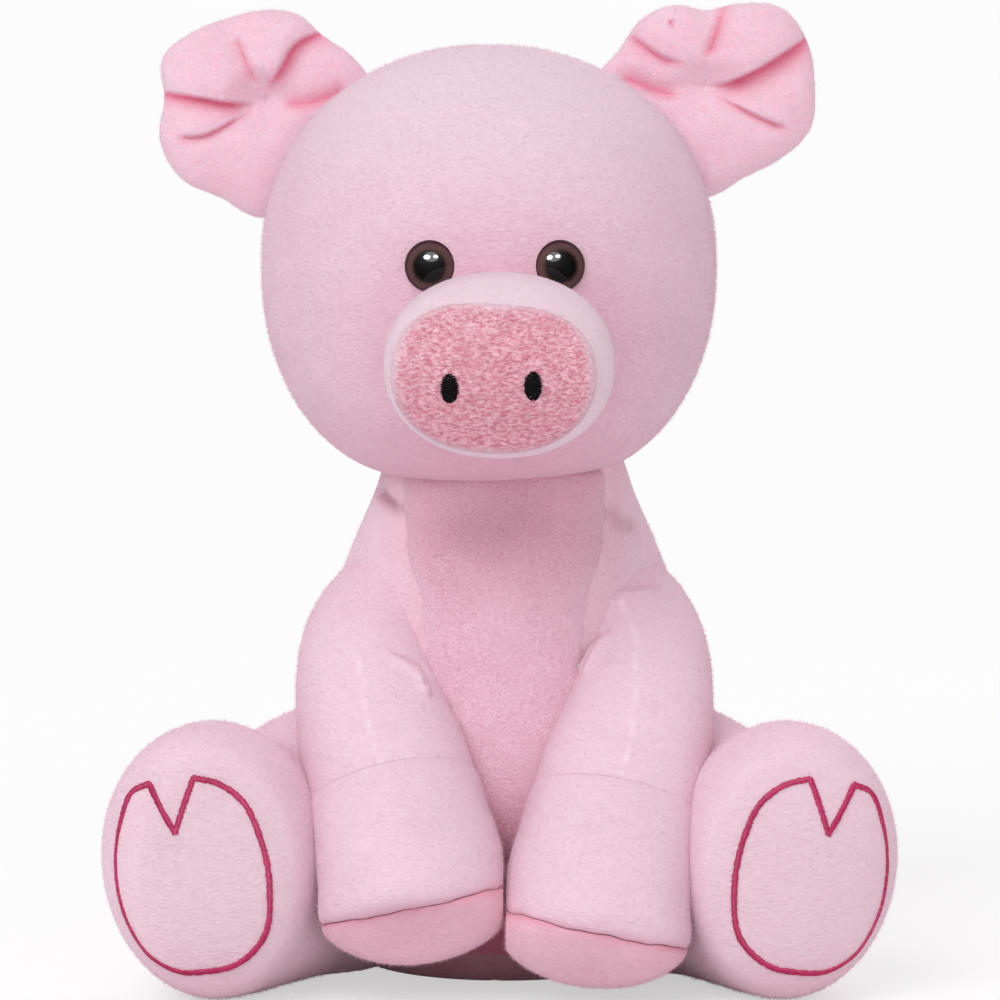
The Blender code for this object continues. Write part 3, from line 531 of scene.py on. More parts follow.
def pile_material(name, tip, root, nap=1200.0, stretch=(0.35, 0.6, 1), curl=0.002, patches=1.2,
                  contrast=1.4, bump=0.0009, sheen=0.35, rough=0.92, shine=0.12, glow=0,
                  seam_and_sheen_colour=None, shade_tint_colour=None):
    material, tree, shader = new_material(name)
    cloth = tree.nodes.new("ShaderNodeGroup")
    cloth.node_tree = PILE
    join(tree, cloth, {"Tip": colour(tip), "Root": colour(root), "Nap": nap, "Stretch": stretch,
                       "Curl": curl, "Patches": patches, "Contrast": contrast,
                       "Shade": attribute(tree, "shade")})
    if seam_and_sheen_colour:
        join(tree, cloth, {"Seam": attribute(tree, "seam"), "Seam Colour": colour(seam_and_sheen_colour)})
    if shade_tint_colour:
        share = [linear(deep) / linear(plain) for deep, plain in zip(shade_tint_colour, tip)]
        join(tree, cloth, {"Deep": attribute(tree, "deep"), "Deep Colour": (*share, 1)})
    normal = add(tree, "ShaderNodeBump", {
        "Strength": BUMP_STRENGTH, "Distance": bump, "Height": cloth.outputs["Height"]})
    join(tree, shader, {
        "Base Color": cloth.outputs["Colour"], "Normal": normal, "Roughness": rough,
        "Specular IOR Level": shine, "Subsurface Weight": glow, "Subsurface Radius": GLOW_SPREAD,
        "Subsurface Scale": 0.006, "Sheen Weight": sheen, "Sheen Roughness": 0.45,
        "Sheen Tint": colour(SHEEN_TINT)})
    return material


PLAIN = {"nap": 900.0, "curl": 0.006, "contrast": 1.5, "bump": 0.0006}
# The deep colours below are painted shade, the pinker cloth in folds, creases and shaded parts.
HEAD_CLOTH = pile_material(
    "head_plush", (239, 209, 221), (226, 189, 204), stretch=(0.3, 0.6, 1), contrast=1.5,
    # the head's seam colour is painted sheen on the top of the head
    seam_and_sheen_colour=(237, 215, 226), shade_tint_colour=(234, 176, 196))
BODY_CLOTH = pile_material(
    "body_plush", (244, 216, 228), (234, 200, 214), patches=0.9,
    seam_and_sheen_colour=(251, 227, 238), shade_tint_colour=(220, 106, 138))
# its deeper pink is partly the panel's own cloth and partly painted shade
BELLY_CLOTH = pile_material(
    "belly_plush", (249, 210, 225), (229, 176, 196), nap=1550.0, stretch=(0.7, 0.9, 1),
    curl=0.0012, patches=0.9, contrast=2.3, bump=0.0012, seam_and_sheen_colour=(240, 206, 220),
    shade_tint_colour=(238, 114, 150))
EAR_CLOTH = pile_material(
    "ear_plush", (249, 216, 229), (241, 195, 212), nap=1400.0, stretch=(0.6, 0.8, 1), curl=0.0012,
    contrast=1.8, bump=0.0010, shade_tint_colour=(246, 134, 168), glow=0.5)
MUZZLE_CLOTH = pile_material("muzzle_plush", (239, 217, 228), (229, 201, 214), bump=0.0006)
HOOF_CLOTH = pile_material(
    "hoof_plush", (244, 214, 227), (233, 200, 214), nap=1300.0, shade_tint_colour=(232, 168, 190))
SNOUT_CLOTH = pile_material(
    "snout_plush", (255, 210, 222), (221, 138, 159), nap=1500.0, stretch=(0.36, 0.85, 1),
    curl=0.0022, patches=0.5, contrast=3.6, bump=0.0014, seam_and_sheen_colour=(238, 210, 222),
    shade_tint_colour=(228, 170, 186))
SOLE_CLOTH = pile_material(
    "sole_plush", (249, 206, 221), (238, 186, 204), nap=1300.0, contrast=1.5,
    shade_tint_colour=(232, 152, 178))
THREAD = pile_material(
    "print_thread", (206, 44, 108), (168, 26, 82), sheen=0.1, rough=0.45, shine=0.22, **PLAIN)
BLACK_THREAD = pile_material(
    "nostril_thread", (14, 9, 11), (5, 4, 4), sheen=0.02, rough=0.7, shine=0.04, **PLAIN)

# %% [markdown]
# Embroidery is many short stitches side by side, and pile is many short fibres. Each is one small
# closed shape; a node tree sets it on points of a skin and makes it real mesh.
# %% Stitches and fibres
FIBRE_DENSITY, FIBRE_LENGTH, FIBRE_LEAN, FIBRE_SEED = 0.72e6, 0.0012, 1.0, 5
FIBRE_SHARES = {"snout_disk_skin": (1.3, 2.5), "muzzle_skin": (0.45, 1)}  # of length and density
MESH = {"Geometry": "Geometry"}
GROWN = MESH | {"Shape": "Object", "Material": "Material"}


def set_on(tree, given, result, points, turn, size):
    """Sets the given shape on every point, as real mesh in the given material."""
    shape = add(tree, "GeometryNodeObjectInfo", {"Object": given["Shape"]}, "Geometry")
    placed = add(tree, "GeometryNodeInstanceOnPoints", {
        "Points": points, "Instance": shape, "Rotation": turn, "Scale": size})
    real = add(tree, "GeometryNodeRealizeInstances", {"Geometry": placed})
    join(tree, result, {"Geometry": add(tree, "GeometryNodeSetMaterial", {
        "Geometry": real, "Material": given["Material"]})})
    return tree


def number_at_point(tree, name, kind="FLOAT"):
    return add(tree, "GeometryNodeInputNamedAttribute", {"Name": name}, "Attribute", data_type=kind)


def stitch_tree():
    """Every point carries its own turn and size."""
    tree, given, result = new_group("stitches", "GeometryNodeTree", GROWN, MESH)
    turn, size = (number_at_point(tree, name, "FLOAT_VECTOR") for name in ("turn", "size"))
    return set_on(tree, given, result, given["Geometry"], turn, size)


def fibre_tree():
    """Fibres lean and turn at random, with fixed seeds, and are shorter where the skin is shorn."""
    numbers = {"Density": "Float", "Length": "Float"}
    tree, given, result = new_group("pile_fibres", "GeometryNodeTree", GROWN | numbers, MESH)

    def draw(low, high, seed):
        return add(tree, "FunctionNodeRandomValue", {2: low, 3: high, "Seed": seed}, 1)

    scatter = tree.nodes.new("GeometryNodeDistributePointsOnFaces")
    join(tree, scatter, {
        "Mesh": given["Geometry"], "Density": given["Density"], "Seed": FIBRE_SEED})
    turn = add(tree, "ShaderNodeCombineXYZ", {
        "X": draw(0, FIBRE_LEAN, FIBRE_SEED), "Z": draw(0, math.tau, 11)})
    turn = add(tree, "FunctionNodeEulerToRotation", {"Euler": turn})
    turn = add(tree, "FunctionNodeRotateRotation", {
        "Rotation": scatter.outputs["Rotation"], "Rotate By": turn}, rotation_space="LOCAL")
    left = maths(tree, "SUBTRACT", 1, number_at_point(tree, "shorn"))
    size = maths(tree, "MULTIPLY", maths(tree, "MULTIPLY", draw(0.5, 1, 3), given["Length"]), left)
    return set_on(tree, given, result, scatter.outputs["Points"], turn, size)


STITCH_TREE, FIBRE_TREE = stitch_tree(), fibre_tree()


def spindle():
    """One stitch along X, from -1 to 1: round across and drawn in at both ends."""
    rows = [ring(ACROSS * x, -FRONT * size, UP * size, 6)
            for x, size in ((-0.92, 0.6), (-0.7, 0.95), (0, 1.0), (0.7, 0.95), (0.92, 0.6))]
    return skin_object("stitch_shape", [pole(-ACROSS, 6), *rows, pole(ACROSS, 6)], THREAD)


def fibre_shape():
    """A fibre one unit long: a closed spike of three sides that tapers to its tip."""
    places = [(0.085 * math.cos(turn), 0.085 * math.sin(turn), -0.1)
              for turn in (0, math.tau / 3, -math.tau / 3)] + [(0, 0, 1)]
    faces = [(0, 1, 3), (1, 2, 3), (2, 0, 3), (0, 2, 1)]
    return bpy.data.objects.new("fibre_shape", new_mesh("fibre_shape", places, faces))


def grown_by(tree, obj, shape, material, **inputs):
    """Runs a node tree on an object's points, and the object keeps the mesh that it makes."""
    modifier = obj.modifiers.new("tree", "NODES")
    modifier.node_group = tree
    inputs.update(Shape=shape, Material=material)
    for item in tree.interface.items_tree:
        if item.in_out == "INPUT" and item.name in inputs:
            modifier[item.identifier] = inputs[item.name]
    bpy.context.view_layer.update()
    seen = obj.evaluated_get(bpy.context.evaluated_depsgraph_get())
    old, mesh = obj.data, bpy.data.meshes.new_from_object(seen)
    obj.modifiers.remove(modifier)
    obj.data = mesh
    bpy.data.meshes.remove(old)
    bpy.data.objects.remove(shape)
    return obj


def fuzz(skin):
    """The standing fibres of a skin, as a piece of their own; none goes under the floor."""
    length, density = FIBRE_SHARES.get(skin.name, (1, 1))
    obj = in_scene(skin.name + "_pile", skin.data.copy())
    grown_by(FIBRE_TREE, obj, fibre_shape(), skin.data.materials[0],
             Length=FIBRE_LENGTH * length, Density=FIBRE_DENSITY * density)
    obj.data.vertices.foreach_set("co", above_floor(points_of(obj)).ravel())
    print(obj.name, len(obj.data.polygons) // 4, "fibres")
    return obj


def stitched(name, side, slot, body, material, places, turns, sizes):
    """A piece of many stitches, for the node of that name and side."""
    node, name = name + side, name + "stitches_" + side
    mesh = new_mesh(name, places)
    for label, values in (("turn", turns), ("size", sizes)):
        store = mesh.attributes.new(label, "FLOAT_VECTOR", "POINT")
        store.data.foreach_set("vector", np.array(values, float).ravel())
    obj = in_scene(name, mesh)
    grown_by(STITCH_TREE, obj, spindle(), material)
    obj.data.shade_smooth()
    print(name, len(obj.data.polygons), "faces in", len(places), "stitches")
    dress(obj, node, slot, body)


# %% [markdown]
# The torso is a pear that is widest at the hips. The front is a pinker panel, partly its own cloth
# and partly painted shade, let in between two seams, so the torso's skin dips under the panel and
# along its edges.
# %% Torso and belly panel
SHORN = 0.96  # how much shorter fibres stand beside a seam that moves
PANEL_BED, PANEL_PROUD, PANEL_CLOTH = 0.0010, 0.0015, 0.0022
TUCK_DEPTH = 0.0028
NECK_TUCKS = (  # line across and up, width, strength
    (((-0.0440, 0.1535), (-0.0370, 0.1463), (-0.0300, 0.1420)), 0.0017, 1.0),
    (((0.0305, 0.1455), (0.0345, 0.1398), (0.0420, 0.1365)), 0.0022, 0.5),
)


def torso_rows():
    columns, step = TORSO_MESH
    rings = [ring(np.array((0, -lean * NECK_LEAN, height * TORSO_HEIGHT)),
                  ACROSS * width * HIP_HALF_WIDTH, -FRONT * depth * HIP_HALF_DEPTH, columns)
             for height, width, depth, lean in TORSO_RINGS]
    low, top = (0, 0.6 * NECK_LEAN, 0), (0, -NECK_LEAN, TORSO_HEIGHT * 1.02)
    return between_poles(low, rings, top, step)


def panel_half(height):
    """Half the width of the belly panel at a height, outside the panel the nearest value."""
    bottom, top = PANEL_BOTTOM_SHARE * TORSO_HEIGHT, PANEL_TOP_SHARE * TORSO_HEIGHT
    share = np.clip((height - bottom) / (top - bottom), 0, 1) * (len(PANEL_WIDTHS) - 1)
    left = np.minimum(share.astype(int), len(PANEL_WIDTHS) - 2)
    blend = (1 - np.cos(math.pi * (share - left))) / 2
    widths = np.array(PANEL_WIDTHS)
    return (widths[left] * (1 - blend) + widths[left + 1] * blend) * PANEL_HALF_WIDTH


def seam_distance(points):
    """How far inside the belly panel's outline a point of the front lies, negative outside."""
    inside = panel_half(points[..., 2]) - np.abs(points[..., 0])
    inside = np.minimum(inside, points[..., 2] - PANEL_BOTTOM_SHARE * TORSO_HEIGHT)
    return np.where(points[..., 1] < 0, inside, -1)


def drawn_in(place):
    """How far the two tucks beside the neck draw the cloth in, from 0 to 1."""
    flat, most = place.reshape(-1, 3), np.zeros(place.size // 3)
    for line, width, strength in NECK_TUCKS:
        distance, share, _ = to_line(flat[:, [0, 2]], line)
        ends = smooth_step(0, 0.3, share) * smooth_step(1, 0.7, share)
        most = np.maximum(most, strength * ends * bell(distance, width) * (flat[:, 1] < -0.006))
    return most.reshape(place.shape[:-1])


TORSO = torso_rows()
TORSO_NORMALS = row_normals(TORSO)


def make_torso():
    inside = seam_distance(TORSO)
    seat_seam = bell(TORSO[..., 0] + 0.003, 0.0007) * smooth_step(0.017, 0.012, TORSO[..., 2])
    dip = 0.0004 * bell(inside, 0.0014) + 0.0016 * smooth_step(0.0016, 0.0036, inside)
    dip = dip + 0.0012 * seat_seam * (TORSO[..., 1] < 0) + TUCK_DEPTH * drawn_in(TORSO)
    obj = skin_object("torso_skin", above_floor(TORSO - TORSO_NORMALS * dip[..., None]), BODY_CLOTH)
    place = points_of(obj)
    height, sunk, at_front = place[:, 2], drawn_in(place), place[:, 1] < -0.01
    # Painted shade on the front: pinker and darker at the bottom, beside the panel's edges and in the
    # tucks.
    low = smooth_step(0.05, 0.01, height)
    beside_panel = smooth_step(0.012, 0.0, np.abs(np.abs(place[:, 0]) - panel_half(height)))
    from_tail = np.linalg.norm(place - TAIL_ROOT, axis=1)
    near_joint = np.maximum(smooth_step(0.134, 0.146, height), smooth_step(0.024, 0.014, from_tail))
    mark(obj, shorn=SHORN * near_joint,
         deep=np.clip((0.48 * low + 0.15 * beside_panel + 0.25 * sunk) * at_front, 0, 1),
         shade=np.clip(0.30 * low + 0.30 * sunk, 0, 0.4) * at_front)
    stuffed(obj, "torso", "body_plush", "torso")


def make_belly():
    """The panel follows the torso's skin, a little proud of it in the middle."""
    levels = np.linspace(PANEL_BOTTOM_SHARE, PANEL_TOP_SHARE, PANEL_STEPS) * TORSO_HEIGHT
    front = slice(TORSO_MESH[0] // 2, TORSO_MESH[0] + 1)
    rows, normals = (np.concatenate([grid, grid[:, :1]], 1)[9:-9, front]
                     for grid in (TORSO, TORSO_NORMALS))
    share, xyz = np.linspace(-1, 1, PANEL_COLUMNS), range(3)
    loops = []
    for level in levels:
        line, turn = (np.array([[np.interp(level, rows[:, c, 2], grid[:, c, k]) for k in xyz]
                                for c in range(rows.shape[1])]) for grid in (rows, normals))
        half = panel_half(np.array(level))
        place, facing = (np.array([np.interp(share * half, line[:, 0], grid[:, k]) for k in xyz]).T
                         for grid in (line, turn))
        to_edge = np.minimum(half * (1 - np.abs(share)), min(level - levels[0], levels[-1] - level))
        rise = PANEL_PROUD * (1 - np.exp(-to_edge / 0.0018)) - PANEL_BED
        inner = place - facing * PANEL_CLOTH
        loops.append(np.concatenate([place + facing * rise[:, None], inner[::-1]]))
    obj = skin_object("belly_skin", loops, BELLY_CLOTH)
    place = points_of(obj)
    height = place[:, 2]
    # Painted shade: the head's shadow on the chest, shade under the chin and at the bottom between
    # the arms.
    head_shadow = np.exp(-((place[:, 0] + 0.008) / 0.017) ** 2 - ((height - 0.138) / 0.011) ** 2)
    upper, at_edge = smooth_step(0.100, 0.140, height), smooth_step(0.009, 0, seam_distance(place))
    mark(obj, shorn=SHORN * smooth_step(0.137, 0.147, height),
         deep=0.8 * smooth_step(0.070, 0.012, height) + 0.08 * head_shadow + 0.12 * upper,
         shade=0.16 * head_shadow + 0.07 * upper + 0.22 * smooth_step(0.040, 0.010, height),
         seam=at_edge * smooth_step(0.085, 0.115, height) * 0.7)
    stuffed(obj, "belly_panel", "belly_plush", "torso")


make_torso()
make_belly()

# %% [markdown]
# The head is a stuffed ball with a padded snout: a pale side wall and a deeper pink disk.
# %% Head and snout
def on_head_axis(share):
    return HEAD_AXIS + UP * (HEAD_BOTTOM + share * HEAD_HEIGHT)


def make_head():
    rows = oval_form(HEAD_RINGS, on_head_axis, ACROSS * HEAD_RADIUS, -FRONT * HEAD_RADIUS,
                     (-0.001 / HEAD_HEIGHT, 1.003), HEAD_MESH)
    obj = skin_object("head_skin", rows, HEAD_CLOTH)
    x, y, z = points_of(obj).T
    # Painted shade: pinker round the snout and under the jaw; the paler top of the head is painted
    # sheen.
    around_snout = np.hypot(x - MUZZLE_MIDDLE[0], (z - MUZZLE_MIDDLE[2]) * 1.1)
    shade_round_snout = smooth_step(0.062, 0.030, around_snout) * (y < 0) * 0.34
    mark(obj, seam=smooth_step(0.225, 0.280, z) * 0.85, shorn=SHORN * smooth_step(0.168, 0.157, z),
         deep=np.clip(shade_round_snout + smooth_step(0.178, 0.155, z) * 0.28, 0, 1))
    stuffed(obj, "head", "head_plush", "head")


def make_muzzle():
    rows = oval_form(MUZZLE_RINGS, lambda reach: MUZZLE_MIDDLE + FRONT * reach * MUZZLE_FRONT,
                     ACROSS * MUZZLE_HALF_WIDTH, UP * MUZZLE_HALF_HEIGHT, (0.38, 1.01),
                     MUZZLE_MESH, 2.15)
    stuffed(skin_object("muzzle_skin", rows, MUZZLE_CLOTH), "muzzle", "pale_plush", "head")


def make_disk():
    level, rise = turn_about(FRONT, DISK_TURN, ACROSS), turn_about(FRONT, DISK_TURN, UP)
    rows = oval_form(DISK_RINGS, lambda depth: DISK_MIDDLE - FRONT * (1 - depth) * DISK_THICKNESS,
                     level * DISK_HALF_WIDTH, rise * DISK_HALF_HEIGHT,
                     (0, 1 + 0.0015 / DISK_THICKNESS), DISK_MESH, 2.55, 2.1)
    obj = skin_object("snout_disk_skin", rows, SNOUT_CLOTH)
    place = points_of(obj) - DISK_MIDDLE
    widest = np.linalg.norm(rows - DISK_MIDDLE, axis=2).max(0)
    angle = np.arctan2(place @ rise, place @ level) % math.tau
    edge = np.interp(angle, [*angles(DISK_MESH[0]), math.tau], [*widest, widest[0]])
    inside = edge - np.hypot(place @ level, place @ rise)
    # The pale edge is the seam; painted shade makes the disk deeper pink towards its bottom.
    mark(obj, seam=smooth_step(0.0042, 0.0, inside) * 0.95,
         shorn=smooth_step(0.0035, 0.0005, inside) * 0.9,
         deep=smooth_step(0.012, -0.016, place @ rise) * 0.6)
    stuffed(obj, "snout_disk", "snout_plush", "head")


def make_nostril(side, sign):
    """Level satin stitches, each as long as the nostril is wide there."""
    middle = (DISK_MIDDLE + ACROSS * (sign * NOSTRIL_SPREAD - NOSTRIL_SHIFT)
              + UP * (NOSTRIL_LIFTS[side] - NOSTRIL_DROP) + FRONT * 0.0004)
    places, turns, sizes = [], [], []
    for step in range(NOSTRIL_STITCHES):
        height = (step + 0.5) / NOSTRIL_STITCHES * 2 - 1
        jitter = 0.00013 * math.sin(step * 7.3 + sign)
        half = NOSTRIL_HALF_WIDTH * math.sqrt(1 - height ** 2) + 0.0002 + jitter
        bulge = 0.0011 * (1 - height ** 2)
        places.append(middle + UP * height * NOSTRIL_HALF_HEIGHT + FRONT * bulge)
        turns.append((0, 0.10 * math.sin(step * 3.1), 0))
        sizes.append((half, 0.0007, 0.00030))
    stitched("nostril_", side, "nostril_thread", "head", BLACK_THREAD, places, turns, sizes)


make_head()
make_muzzle()
make_disk()
for side, sign in SIDES.items():
    make_nostril(side, sign)

# %% [markdown]
# An ear is two layers of cloth, tacked together in the middle, so that folds run out from the tack.
# Each fold has a lobe that hangs over it on one side.
# %% Ears
# outline and puff are shares round the ear, from its outer side upward
EAR_OUTLINES = {
    "left": (0.95, 0.96, 0.945, 0.775, 0.66, 0.76, 0.81, 0.82,
             0.97, 0.86, 0.88, 0.98, 0.975, 0.87, 0.91, 0.985),
    "right": (0.85, 0.93, 0.83, 0.76, 0.77, 0.80, 0.77, 0.885,
              1.00, 0.84, 0.84, 0.98, 1.04, 0.935, 0.99, 0.96),
}
EAR_PUFFS = {
    "left": (0.80, 0.95, 1.05, 1.00, 0.85, 0.90, 0.85, 0.70,
             0.60, 0.65, 0.75, 0.90, 1.00, 1.00, 0.95, 0.90),
    "right": (0.95, 1.00, 1.00, 0.95, 0.95, 0.95, 0.70, 0.60,
              0.60, 0.65, 0.75, 0.90, 1.00, 1.00, 0.95, 0.95),
}
# lines from the tack outward in millimetres: outward and up, with the lobe's side, then depth,
# wall, run-out, overhang and lobe, whether the fold runs out over the rim, and the share from
# which it is full
EAR_FOLDS = {
    "left": (
        (((0.0, -1.0), (5.0, 0.2), (13.7, 3.9), (23.3, 9.5), (31.5, 15.0)),
         1, 4.2, 1.9, 6.0, 0.6, 1.3, True, 0.3),
        (((0.0, -1.4), (8.2, -5.7), (17.4, -10.2), (26.0, -13.4)),
         1, 2.2, 1.4, 2.0, 0.4, 1.0, False, 0.5),
        (((-5.0, 7.0), (-12.9, 8.2), (-17.2, 10.9), (-24.5, 16.4)),
         -1, 2.3, 1.8, 3.0, 0.4, 0.9, False, 0.4),
        (((-0.8, 6.6), (2.6, 15.0), (5.6, 25.0)), 1, 2.2, 3.2, 3.2, 0.0, 0.4, True, 0.3),
        (((-9.6, 17.6), (-10.8, 18.7), (-11.6, 20.2)), 1, 1.6, 1.6, 1.6, 0.0, 0.3, False, 0.6),
        (((-6.0, -3.4), (-14.0, -2.0), (-24.0, 1.8)), 1, 2.4, 3.4, 3.4, 0.0, 0.0, True, 0.4),
    ),
    "right": (
        (((0.5, -1.8), (10, -1.4), (20, 0.2), (31.5, 1.8)), 1, 3.8, 1.9, 4.2, 0.5, 1.2, True, 0.35),
        (((0.8, -2.9), (9.3, -7.3), (17.3, -11.2), (26.5, -11.8)),
         1, 2.2, 1.5, 2.2, 0.4, 1.0, False, 0.5),
        (((-0.9, 1.9), (-6.2, 9.0), (-10.6, 16.4), (-20.5, 21.0)),
         -1, 3.6, 1.8, 3.8, 0.5, 1.2, True, 0.3),
        (((1.1, 3.9), (4.0, 10.5), (7.5, 19.5)), 1, 1.5, 2.6, 2.6, 0.1, 0.4, False, 0.2),
        (((-5.0, -1.5), (-14.0, -1.5), (-24.0, 1.5)), 1, 2.4, 4.0, 4.0, 0.0, 0.0, True, 0.3),
    ),
}


def around(values, count):
    """A smooth closed curve through values that are evenly spaced round a turn."""
    values = np.array(values)
    place = np.arange(count) / count * len(values)
    low = place.astype(int)
    t = place - low
    p = [values[(low + k) % len(values)] for k in (-1, 0, 1, 2)]
    cubic = 2 * p[0] - 5 * p[1] + 4 * p[2] - p[3] + t * (3 * (p[1] - p[2]) + p[3] - p[0])
    return p[1] + 0.5 * t * (p[2] - p[0] + t * cubic)


def make_ear(side, sign):
    turn = EAR_ANGLES[side]
    out = np.array((sign * math.cos(turn), 0, math.sin(turn)))
    middle = HEAD_MIDDLE + out * EAR_REACH - FRONT * EAR_BACK
    reach = around(EAR_OUTLINES[side], EAR_COLUMNS) * EAR_RADIUS - 0.0006
    puff = around(EAR_PUFFS[side], EAR_COLUMNS) * EAR_PUFF
    spokes = np.stack([np.cos(angles(EAR_COLUMNS)), np.sin(angles(EAR_COLUMNS))], 1)

    def placed(flat, rise):
        return (middle + np.outer(sign * flat[:, 0], ACROSS) + np.outer(flat[:, 1], UP)
                + np.outer(rise, FRONT))

    share = np.sin(np.linspace(0, math.pi / 2, EAR_STEPS)) ** 0.85
    points, fold_shades = [], []
    for size in share:
        depth = EAR_DEPTH * math.sqrt(max(0, 1 - size ** 4))
        points.append(placed((size * reach)[:, None] * spokes, np.full(EAR_COLUMNS, -depth)))
        fold_shades.append(np.zeros(EAR_COLUMNS))
    for size in share[::-1][1:]:
        flat = (size * reach)[:, None] * spokes * 1000
        rise = puff * math.sqrt(max(0, 1 - size ** 5)) * (0.30 + 0.70 * smooth_step(0, 0.42, size))
        lift, move, sunk = all_folds(flat, EAR_FOLDS[side])
        rim = math.sqrt(max(0, 1 - size ** 8))
        rise = np.maximum(rise + lift / 1000 * rim, EAR_LOWEST * rim)
        points.append(placed((flat + move * rim) / 1000, rise))
        fold_shades.append(sunk)
    for end in (0, -1):
        points[end] = pole(points[end].mean(0), EAR_COLUMNS)
    obj = skin_object("ear_skin_" + side, points, EAR_CLOTH)
    # Painted shade: the fold hollows are deeper pink.
    mark(obj, deep=np.concatenate([fold_shades[0][:1], *fold_shades[1:-1], fold_shades[-1][:1]]))
    root = HEAD_MIDDLE - FRONT * EAR_BACK
    stuffed(obj, "ear_" + side, "ear_plush", "head", "ear_" + side,
            root + out * (HEAD_RADIUS - 0.004), root + out * (HEAD_RADIUS + 0.006), fill=0.4)


for side, sign in SIDES.items():
    make_ear(side, sign)

# %% [markdown]
# Arms: a sleeve, a pale hoof and a smooth sole, sewn end to end. Hind legs: one stuffed form each,
# lying forward with the sole upright.
# %% Limbs
# folds and seams as lines across and up, in millimetres; a fold goes on as those of the ears do
SLEEVE_FOLDS = {
    "left": (
        (((35.0, 109.0), (30.7, 107.7), (27.4, 104.7), (23.8, 98.5)),
         1, 2.8, 0.55, 1.1, 0.6, 1.6, True, 0.75),
        (((26.7, 115.6), (32.2, 119.2), (37.9, 120.1), (47.9, 120.4)), -1, 1.0, 1.2, 2.4, 0.2, 0.5),
    ),
    "right": (
        (((-37.5, 105.2), (-31.6, 101.9), (-25.5, 97.7), (-23.6, 93.5)),
         -1, 2.8, 0.55, 1.1, 0.6, 1.6, True, 0.75),
    ),
}
SLEEVE_SEAMS = {
    "left": ((35.2, 117.1), (39.7, 106.2), (39.4, 95.0), (37.6, 80.3), (34.9, 70.3)),
    "right": ((-43.4, 101.3), (-42.2, 94.9), (-40.8, 84.6), (-38.5, 78.5), (-35.5, 69.3)),
}
SEAM_WIDTH, SEAM_RISE = 0.9, 0.0002
# painted shade on the front face of each foot
LEG_SHADES = {"left": 0.055, "right": 0.085}


def normals_along(obj, axis):
    return np.array([vertex.normal[axis] for vertex in obj.data.vertices])


def side_on(obj):
    """How much each point of a skin faces left or right, nought up to halfway."""
    return smooth_step(0.55, 1.0, np.abs(normals_along(obj, 0)))


def arm_places(side, sign):
    root = np.array((sign * 0.52 * HIP_HALF_WIDTH, -0.22 * HIP_HALF_DEPTH, 0.70 * TORSO_HEIGHT))
    drop, last = UP * ARM_DROPS[side], len(ARM_RINGS) - 1
    return [root + np.array((sign * out, -forward, rise)) * ARM_LENGTH - drop * step / last
            for step, (out, forward, rise, _, _) in enumerate(ARM_RINGS)]


def arm_form(places, sign):
    """The whole arm as one form, from inside the torso to below the sole."""
    columns, step = ARM_MESH
    rings = path_rings(places, [shares[3] * ARM_HALF_WIDTH for shares in ARM_RINGS],
                       [shares[4] * ARM_HALF_THICKNESS for shares in ARM_RINGS], ACROSS, columns)
    inner = places[0] + np.array((-sign * 0.004, 0.002, 0.009))
    rings.insert(0, ring(inner, ACROSS * 0.014, UP * 0.006 - FRONT * 0.010, columns))
    return above_floor(between_poles(inner + UP * 0.004, rings, beyond(places, 0.05), step))


def gathered(sleeve, side):
    """The sleeve with its folds, and a raised line along its front seam."""
    normals, flat = row_normals(sleeve).reshape(-1, 3), sleeve.reshape(-1, 3)
    lift, move, _ = all_folds(flat[:, [0, 2]] * 1000, SLEEVE_FOLDS[side])
    facing = np.clip(0.35 - normals[:, 1] * 3, 0, 1) * (flat[:, 1] < -0.012)
    flat = flat + normals * (lift * facing / 1000)[:, None]
    flat[:, [0, 2]] += move * facing[:, None] / 1000
    distance, _, _ = to_line(flat[:, [0, 2]] * 1000, SLEEVE_SEAMS[side])
    line = bell(distance, SEAM_WIDTH) * (facing > 0.9)
    return (flat + normals * (line * SEAM_RISE)[:, None]).reshape(sleeve.shape)


def mark_sleeve(obj, side):
    """The front seam shows as a broken pale line; folds and the sides get painted shade."""
    place = points_of(obj)
    distance, share, _ = to_line(place[:, [0, 2]] * 1000, SLEEVE_SEAMS[side])
    broken = 0.42 + 0.22 * np.sin(share * 37) + 0.16 * np.sin(share * 83)
    seam = bell(distance + 0.35 * np.sin(share * 21), SEAM_WIDTH) * (place[:, 1] < -0.03) * broken
    sunk = all_folds(place[:, [0, 2]] * 1000, SLEEVE_FOLDS[side])[2] * (place[:, 1] < -0.02)
    # painted shade in the folds and on the sides
    mark(obj, seam=seam, deep=np.clip(0.34 * sunk + 0.10 * side_on(obj), 0, 1),
         shade=0.30 * sunk ** 2)


